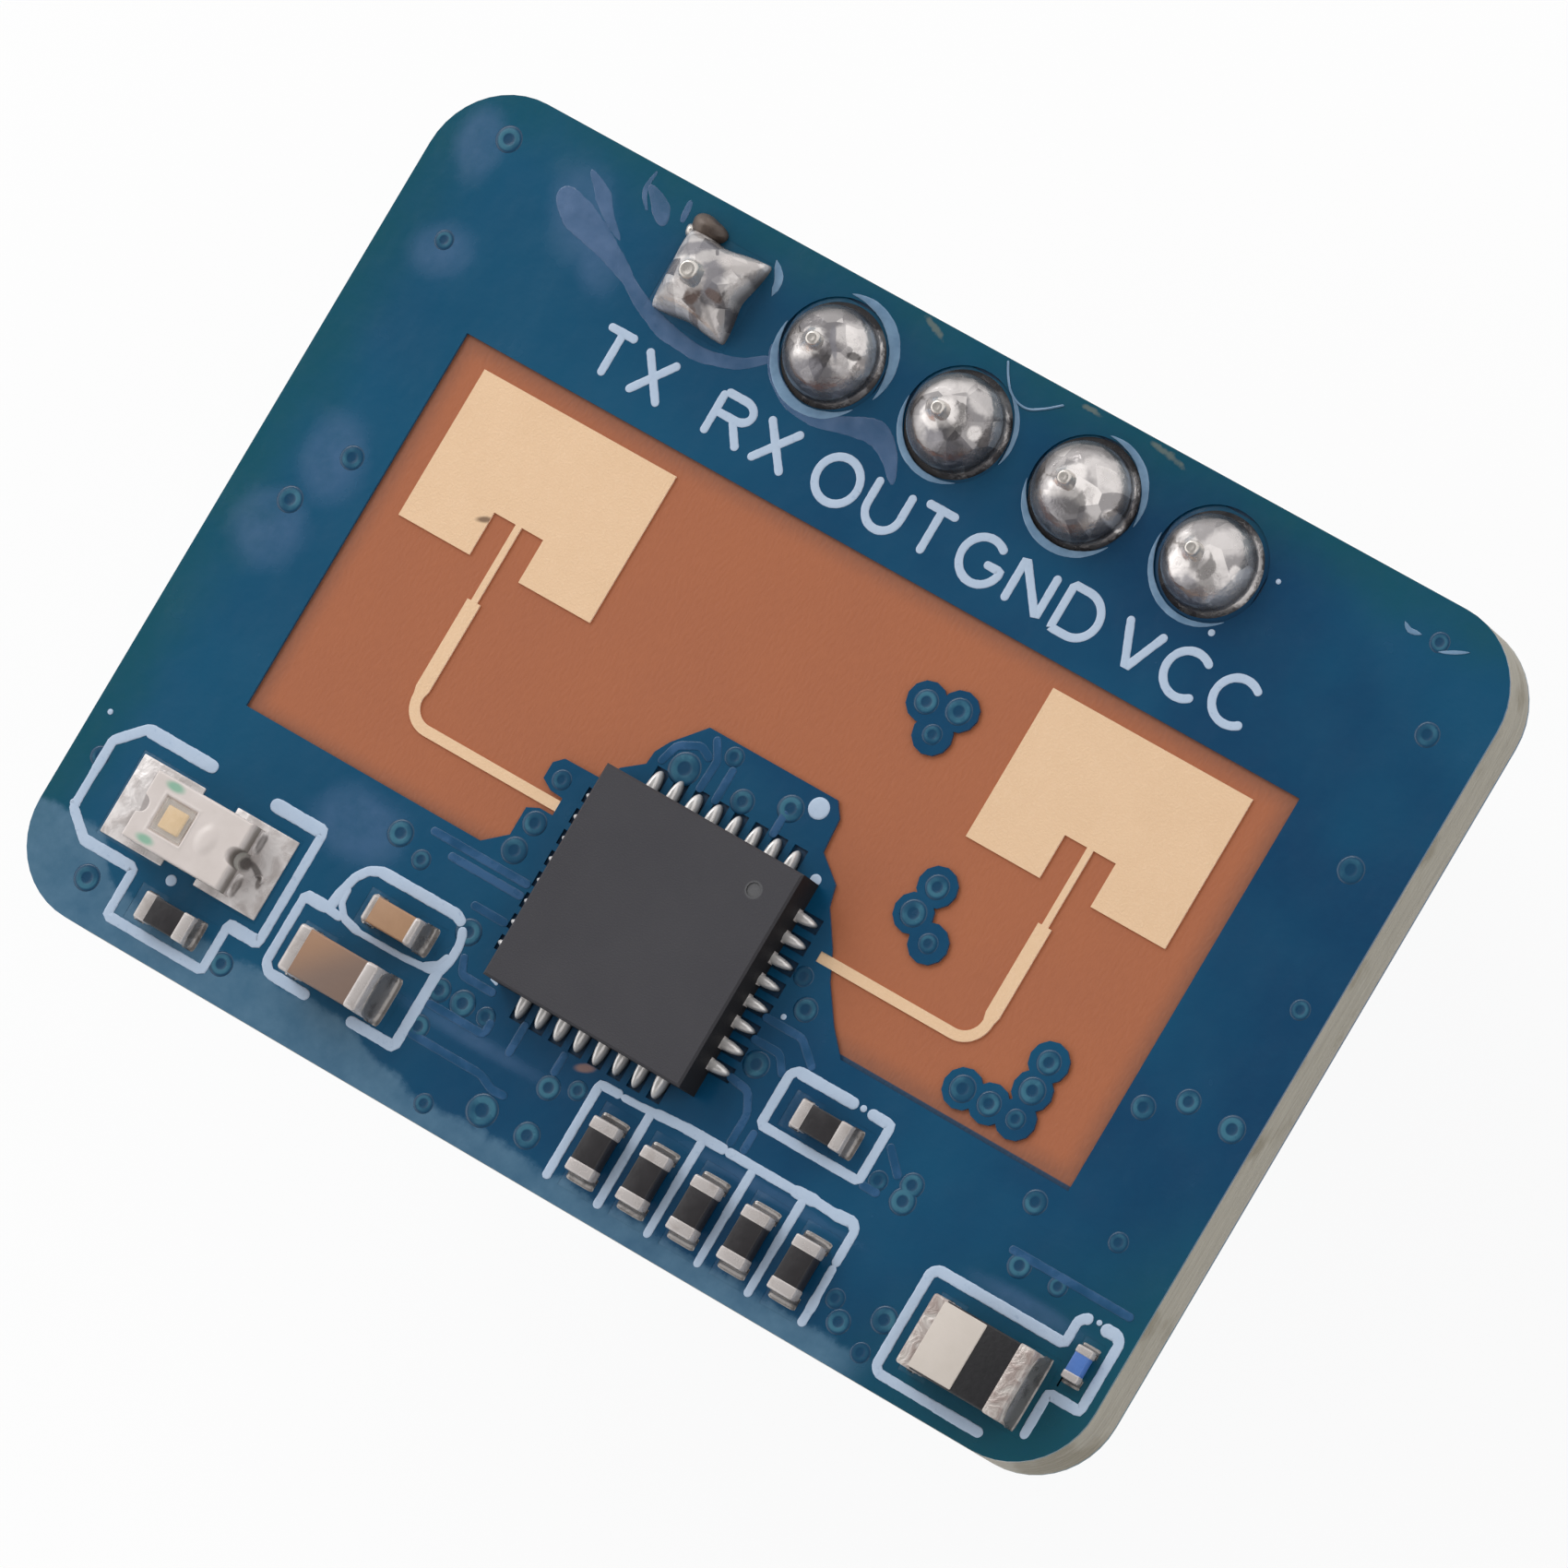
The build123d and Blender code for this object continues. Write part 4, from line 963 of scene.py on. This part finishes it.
print("vias and buried tracks")
relief = {
    "viaRadius": 0.22, "viaHeight": 0.008, "trackHeight": 0.008, "trackWidth": 0.15,
    # a low ring round a dimple, as shares of the radius and the height
    "ring": [
        (0.0, 0.1), (0.22, 0.05), (0.36, 0.3), (0.48, 0.85), (0.60, 1.0), (0.72, 0.85), (0.86, 0.4),
        (1.0, 0.0), (1.0, -0.5), (0.0, -0.5),
    ],
    # vias come in turn in these three sizes, and the big ones are wider than high
    "sizes": (0.82, 1.0, 1.1), "bigWide": 1.35, "bigHigh": 1.2,
    "vias": [
        (-2.02, -7.5), (-6.42, -7.21), (-9.32, -7.10), (-10.25, -5.25), (-2.81, -5.77), (-2.33, -5.77),
        (-1.85, -5.77), (-2.81, -6.46), (-2.885, -4.71), (-2.84, -1.78), (-2.86, -2.62), (-2.93, -3.17),
        (-0.40, -0.05), (0.12, -0.62), (0.92, -0.33), (2.62, -2.6), (2.95, -3.05), (2.69, -4.22),
        (0.22, -6.05), (-0.25, -6.25), (-0.15, -7.1), (5.55, -4.86), (6.1, -4.65), (6.1, -4.95),
        (5.95, -6.85), (6.2, -7.15), (6.87, -6.75), (6.8, -7.4), (8.85, -1.7), (-9.58, 7.03), (-9.66, 5.04),
        (-9.07, 1.13), (-9.66, 0.02), (9.18, 7.17), (9.80, 5.77), (9.85, 3.27), (10.32, 0.91),
        (9.47, -1.26), (10.35, -1.30), (9.66, -3.78), (8.08, -3.89), (-4.84, -3.86), (-4.28, -4.07),
        (2.02, 2.28), (2.60, 2.40), (2.40, 1.86), (3.84, -0.26), (3.71, -0.82), (4.20, -1.13),
        (7.06, -1.83), (7.06, -2.36), (7.06, -2.89), (6.53, -2.89), (6.0, -2.89), (9.15, -4.88), (8.4, -4.9),
    ],
    "bigVias": [(-1.06, -7.115), (-1.06, -0.62)],
    "tracks": [
        [(-4.4, -3.55), (-2.35, -3.55)], [(-3.9, -3.77), (-2.35, -3.77)], [(-3.1, -4.28), (-2.35, -4.28)],
        [(-2.75, -5.05), (-2.6, -5.37), (-1.9, -5.37)], [(-2.9, -6.04), (-1.72, -6.04), (-1.72, -5.75)],
        [(-2.9, -6.62), (-1.4, -6.62), (-1.1, -6.75), (-0.8, -6.73)], [(-1.17, -5.5), (-1.17, -6.15)],
        [(-0.3, -0.2), (-0.3, -0.9)], [(0.88, -0.4), (0.88, -0.9)],
        [(2.35, -3.48), (3.15, -3.48), (3.6, -3.85)],
        [(2.37, -3.88), (2.95, -3.88), (3.2, -4.2)], [(2.35, -4.6), (2.8, -4.66), (3.0, -5.0), (3.0, -5.6)],
        [(3.27, -5.15), (3.27, -5.6)], [(5.4, -4.25), (5.85, -4.68)], [(8.1, -4.73), (10.55, -4.73)],
        [(-0.3, -5.6), (-0.3, -6.05)], [(-1.5, -0.75), (-1.38, -0.35), (-1.0, -0.16), (-0.72, -0.3)],
        [(-0.65, -0.85), (-0.62, -0.25), (-0.85, 0.1)], [(5.3, -5.05), (5.7, -5.05)],
    ],
}


def reliefGrids(look):
    # the ring's profile turned round each via at its size, and wider round the big vias
    ring, size = np.array(look["ring"]), np.array([look["viaRadius"], look["viaHeight"]])
    places, steps = np.array(look["vias"]), len(look["sizes"])
    grids = [turned(ring * (size * share), places[first::steps]) for first, share in enumerate(look["sizes"])]
    return grids + [turned(ring * (size * [look["bigWide"], look["bigHigh"]]), look["bigVias"])]


viaFinish = buriedRelief("viaMask", (8, 64, 96), (56, 112, 134), relief["viaHeight"])
trackFinish = buriedRelief("trackMask", (10, 70, 106), (48, 92, 134), relief["trackHeight"])
tracks = [stroke(path, relief["trackWidth"], relief["trackHeight"], 0.08) for path in relief["tracks"]]
addPiece("maskRelief", reliefGrids(relief), "blue_mask", finish=viaFinish)
addPiece("buriedTracks", tracks, "blue_mask", finish=trackFinish)

print("flux round the joints")
flux = {
    "radius": 1.02, "width": 0.16, "height": 0.012, "opacity": 0.85, "filmHeight": 0.007, "filmOpacity": 0.42,
    "taper": ((0, 0.1), (0.2, 0.75), (0.5, 1.0), (0.8, 0.75), (1, 0.1)),
    # crescents: joint, first and last angle, share of the width, and how much further out
    "crescents": [
        (2, -18, 104, 1.3, 0.05), (2, 172, 322, 1.15, 0.0), (3, 178, 300, 0.8, -0.02), (3, -15, 60, 0.6, 0.0),
        (4, -5, 96, 0.9, 0.03), (4, 192, 326, 0.95, 0.0), (5, 176, 315, 0.8, 0.0),
    ],
    # smears: path, width and softness
    "smears": [
        ([(-4.28, 7.42), (-4.05, 7.15), (-4.02, 6.85)], 0.16, 0.1),
        ([(8.48, 7.2), (8.62, 7.1), (8.85, 7.14)], 0.10, 0.05),
        ([(9.24, 7.02), (9.45, 7.12), (9.72, 7.26)], 0.07, 0.05),
    ],
    "hair": [(0.2, 7.8), (0.32, 7.6), (0.5, 7.38), (0.72, 7.26), (0.95, 7.25), (1.2, 7.4), (1.45, 7.6)],
    # films: path, width, and how it swells along the path
    "films": [
        ([(-8.3, 6.75), (-7.85, 6.5), (-7.2, 6.3), (-6.6, 6.05), (-6.0, 5.72), (-5.4, 5.5), (-4.6, 5.42),
          (-3.9, 5.6), (-3.45, 5.95)],
         0.40, ((0, 0.9), (0.12, 1.5), (0.26, 1.0), (0.4, 0.55), (0.6, 0.8), (0.8, 0.6), (1, 0.4))),
        ([(-8.0, 7.25), (-7.6, 7.0), (-7.3, 6.7), (-6.9, 6.45)],
         0.22, ((0, 0.4), (0.4, 1.3), (0.7, 0.8), (1, 0.3))),
        ([(-3.55, 6.2), (-3.3, 5.75), (-2.8, 5.45), (-2.2, 5.4), (-1.6, 5.62), (-1.15, 5.75), (-0.75, 5.5),
          (-0.45, 5.1)], 0.30, ((0, 0.6), (0.3, 0.8), (0.5, 0.8), (0.75, 1.5), (1, 0.4))),
        ([(-6.95, 7.5), (-6.6, 7.3), (-6.35, 7.0)], 0.3, ((0, 0.4), (0.6, 1.1), (1, 0.7))),
        ([(-6.95, 7.75), (-7.0, 7.35), (-6.75, 7.1)], 0.1, ((0, 0.5), (0.5, 1), (1, 0.5))),
        ([(-6.15, 7.6), (-6.1, 7.2)], 0.13, ((0, 0.7), (0.5, 1), (1, 0.7))),
    ],
}


def crescentGrids(look):
    # tapered crescents round the joints, a few smears, and a hair caught by the board's edge
    grids, height, taper = [], look["height"], look["taper"]
    for number, start, stop, wide, out in look["crescents"]:
        radius = look["radius"] + out
        path = arc(*pinPlace(number)[0], radius, radius, start, stop)
        grids.append(stroke(path, look["width"] * wide, height, swell=taper, seed=number))
    grids += [stroke(path, width, height, softness, swell=taper) for path, width, softness in look["smears"]]
    return [*grids, stroke(look["hair"], 0.04, 0.02, 0.1)]


def filmGrids(look):  # the dried film that runs from joint to joint
    return [stroke(path, width, look["filmHeight"], 0.2, swell=swell) for path, width, swell in look["films"]]


def fluxFinish(name, light, dark, opacity):
    finish = Finish(name)
    cloud = finish.noise(2.2, 4.0, 0.6)
    relief = (cloud - 0.5) * 0.01
    alpha = (cloud - 0.5) * 0.6 + opacity
    return finish.coat(finish.mix(cloud, dark, light), 0.16, height=relief, Alpha=alpha)


crescentFinish = fluxFinish("fluxCrescent", (146, 176, 202), (104, 142, 178), flux["opacity"])
filmFinish = fluxFinish("fluxFilm", (128, 156, 196), (96, 124, 168), flux["filmOpacity"])
addPiece("fluxCrescents", crescentGrids(flux), "blue_mask", finish=crescentFinish)
addPiece("fluxFilms", filmGrids(flux), "blue_mask", finish=filmFinish)

print("chip solder")
beads = {"long": 0.36, "wide": 0.20, "high": 0.21, "blunt": 0.6, "hidden": 0.04, "leads": 8, "pitch": 0.40}


def beadGrids(look):
    # a quarter drop against the side of the chip at each lead: highest at the chip, low at its outer end
    tilt, turn = np.linspace(0, np.pi / 2, 9)[:, None], np.linspace(0, 2 * np.pi, 25)
    spread = np.cos(tilt) ** look["blunt"]
    drop = np.stack([
        np.maximum(spread * np.cos(turn) * look["long"], -look["hidden"]),
        spread * np.sin(turn) * look["wide"] / 2, np.sin(tilt) * look["high"] + 0 * turn,
    ], axis=-1)
    foot = drop[:1].copy()
    foot[..., 2] = laminateTop
    drop = capped(np.concatenate([foot, drop]))
    chance = np.random.default_rng(8)
    grids = []
    for quarter in range(4):
        cos, sin = np.cos(quarter * np.pi / 2), np.sin(quarter * np.pi / 2)
        spin = np.array([[cos, sin, 0], [-sin, cos, 0], [0, 0, 1]])
        for step in (np.arange(look["leads"]) - (look["leads"] - 1) / 2) * look["pitch"]:
            size = chance.uniform([0.92, 0.9, 0.9], [1.05, 1.08, 1.1])
            grids.append((drop * size + np.array([chipHalf, step, 0])) @ spin + np.array([*chipMiddle, 0]))
    return grids


addPiece("leadSolder", beadGrids(beads), "solder", ["chip_solder"], finish=beadSolder())

print("chip parts")
chipParts = {
    # name: nodes, how far each end wraps, the corner radius, body slot, reach and climb of the solder
    "resistor": (
        [*[f"row_resistor_{number}" for number in range(1, 6)], "light_resistor", "side_resistor"],
        0.22, 0.035, "resistor_coat", 0.12, 0.62,
    ),
    "edgeResistor": (["edge_resistor"], 0.14, 0.03, "blue_coat", 0.06, 0.6),
    "capacitor": (["small_capacitor", "large_capacitor"], 0.15, 0.06, "tan_ceramic", 0.17, 0.7),
    "diode": (["diode"], 0.30, 0.05, "diode_mould", 0.06, 0.8),
}


def runsAcross(low, high):  # 0 for a part that lies along x, 1 for one that lies along y
    return 0 if high[0] - low[0] > high[1] - low[1] else 1


def filletGrid(half, wide, reach, climb, under):
    # a hollow slope of solder from the end of a part down to its land, softer at both sides
    angle = np.linspace(0, np.pi / 2, 9)
    slope = np.stack([half + reach * (1 - np.cos(angle)), climb * (1 - np.sin(angle)) ** 1.15], axis=1)
    outer, inner, top = half + reach + 0.02, half - under, [(half - 0.03, climb)]
    foot = [(outer, -0.008), (outer, laminateTop), (inner, laminateTop), (inner, 0.0), (half - 0.03, 0.0)]
    out, up = np.vstack([top, slope, foot, top]).T
    side = np.linspace(-1, 1, 17)
    fall = (np.clip(1 - np.abs(side) ** 5, 0, 1) ** 0.5)[:, None]
    x = np.where(out > half, half + (out - half) * (0.8 + 0.2 * fall), out)
    z = np.where(up > 0.001, up * (0.15 + 0.85 * fall), up)
    y = np.broadcast_to((side * (wide / 2 + 0.02))[:, None], x.shape)
    return capped(np.stack([x, y, z], axis=-1))


def twoEnded(name, wrap, radius, reach, climb):
    # the body, both ends and both slopes of solder of a chip part
    low, high = partBox(f"{name}_ends")
    along = runsAcross(low, high)
    length, width = (high - low)[along], (high - low)[1 - along]
    tall = high[2] - low[2]
    farEnd, farSide = length / 2 - 0.03, width / 2 - 0.015
    body = roundedBox([-farEnd, -farSide, 0.01], [farEnd, farSide, tall - 0.012], radius * 0.6)
    end = roundedBox([length / 2 - wrap, -width / 2, 0.0], [length / 2, width / 2, tall], radius)
    solder = filletGrid(length / 2, width, reach, climb * tall, 0.1)
    other = np.array([-1, -1, 1])
    return [
        [upTurned(shape, (low + high) / 2, along) for shape in shapes]
        for shapes in ([body], [end, end * other], [solder, solder * other])
    ]


def maskWell(node, reach=0.22):
    # the mask that has run into the gap round a part's lands
    low, high = partBox(node)
    edge = 0.13 + np.eye(2)[runsAcross(low, high)] * reach
    return roundedBox([*(low[:2] - edge), -0.05], [*(high[:2] + edge), justUnderMask], 0.012)


partSolder = []
wells = []
for kind, (names, wrap, radius, slot, reach, climb) in chipParts.items():
    bodies, ends = [], []
    for name in names:
        own = wrap + (0.10 if name == "large_capacitor" else 0)
        body, end, solder = twoEnded(name, own, radius, reach, climb)
        bodies += body
        ends += end
        partSolder += solder
        wells.append(maskWell(f"{name}_ends"))
    addPiece(f"{kind}Bodies", bodies, slot, [f"{name}_body" for name in names])
    skin = wrinkledEnds() if kind == "diode" else None
    addPiece(f"{kind}Ends", ends, "tinned_metal", [f"{name}_ends" for name in names], finish=skin)
addPiece("maskWells", [*wells, maskWell("light_solder", 0.0)], "blue_mask")
addPiece("partSolder", partSolder, "solder", ["resistor_solder", "capacitor_solder", "diode_solder"])

print("diode band")
bandLow, bandHigh = partBox("diode_band")
band = roundedBox(bandLow * [1, 1, 0] + [-0.05, 0.01, bandHigh[2] - 0.06], bandHigh + [0, -0.01, 0.004], 0.02)
addPiece("diodeBand", [band], "cream_band", ["diode_band"])

print("status light")
light = {
    "round": 0.045, "notch": 0.16, "rim": 0.014, "rimWidth": 0.06, "bump": 0.035, "bumpPlace": (0.40, 0.0),
    "bumpSize": (0.16, 0.23), "wall": 0.012, "rows": 121, "columns": 81,
    "landHeight": 0.03, "landInner": 0.34, "die": 0.21,
    # width, reach and climb of the fillets
    "fillet": (0.40, 0.16, 0.13), "filletPlace": 0.40,
}


def lightBody(look):
    # the top falls by a quarter circle along its edges and by a logistic step into the cavity, and rises
    # by a bell curve along the cavity's rim and by a flat-topped bell at the bump; the notch in each end
    # draws in the length by the height of a circle's arc
    low, high = partBox("light_housing")
    centre, half = (low + high) / 2, (high - low) / 2
    u = np.concatenate([[-1], np.linspace(-1, 1, look["rows"]), [1]])
    v = np.concatenate([[-1], np.linspace(-1, 1, look["columns"]), [1]])
    u, v = np.meshgrid(u, v, indexing="ij")
    y = v * half[1]
    notch = np.sqrt(np.clip(look["notch"] ** 2 - y ** 2, 0, None))
    x = u * (half[0] - notch)
    side = np.minimum(half[0] - notch - np.abs(x), half[1] - np.abs(y))
    short = np.clip(look["round"] - side, 0, None)
    fall = look["round"] - np.sqrt(np.clip(look["round"] ** 2 - short ** 2, 0, None))
    cavityLow, cavityHigh = partBox("light_window")
    cavity = (cavityLow + cavityHigh) / 2 - centre
    wide = (cavityHigh[0] - cavityLow[0]) / 2
    away = np.maximum(np.abs(x - cavity[0]), np.abs(y - cavity[1])) - wide
    deep = (cavityHigh[2] - cavityLow[2]) / (1 + np.exp(np.clip(away / look["wall"], -50, 50)))
    rim = look["rim"] * np.exp(-((away - look["rimWidth"] / 2) / (look["rimWidth"] / 2)) ** 2)
    far = [(at - place) / size for at, place, size in zip((x, y), look["bumpPlace"], look["bumpSize"])]
    bump = look["bump"] * np.exp(-(far[0] ** 2 + far[1] ** 2) ** 2)
    z = high[2] - look["rim"] - look["bump"] * 0.4 - fall - deep + rim + bump
    skirt = np.zeros_like(z, bool)
    skirt[[0, -1], :] = True
    skirt[:, [0, -1]] = True
    z = np.where(skirt, low[2], z)
    top = np.stack([x + centre[0], y + centre[1], z], axis=-1)
    bottom = top.copy()
    bottom[..., 2] = low[2]
    return [top, bottom]


def lightDie(look):
    # a low square block on the floor of the cavity
    low, high = partBox("light_die")
    centre, size = (low + high)[:2] / 2, look["die"]
    return roundedBox([*(centre - size), low[2]], [*(centre + size), high[2] - 0.01], 0.03)


def lightWindow():
    # a thin sheet of resin near the top of the cavity
    low, high = partBox("light_window")
    return roundedBox([*(low[:2] + 0.01), high[2] - 0.045], [*(high[:2] - 0.01), high[2] - 0.025], 0.008)


def lightSolder(look):
    # two bright lands, fillets up both sides of the notch in each end, and a curl of tin
    low, high = partBox("light_solder")
    centre, top = (low + high) / 2, look["landHeight"]
    bodyLow, bodyHigh = partBox("light_housing")
    slope = filletGrid((bodyHigh - bodyLow)[0] / 2, *look["fillet"], 0.02)
    grids = []
    for side in (-1, 1):
        x = sorted([centre[0] + side * look["landInner"], centre[0] + side * (high[0] - low[0]) / 2])
        grids.append(roundedBox([x[0], low[1], laminateTop], [x[1], high[1], top], 0.02))
        for up in (-look["filletPlace"], look["filletPlace"]):
            grids.append(slope * np.array([side, 1, 1]) + np.array([centre[0], centre[1] + up, top - 0.01]))
    curl = arc(centre[0] + 1.33, centre[1] - 0.12, 0.09, 0.07, 200, -60, 14)
    return [*grids, stroke(curl, 0.05, 0.05) + np.array([0, 0, top])]


addPiece("lightBody", lightBody(light), "white_plastic", ["light_housing"])
addPiece("lightDie", [lightDie(light)], "amber_die", ["light_die"])
addPiece("lightWindow", [lightWindow()], "clear_resin", ["light_window"])
addPiece("lightSolder", lightSolder(light), "tinned_metal", ["light_solder"], finish=lightLand())
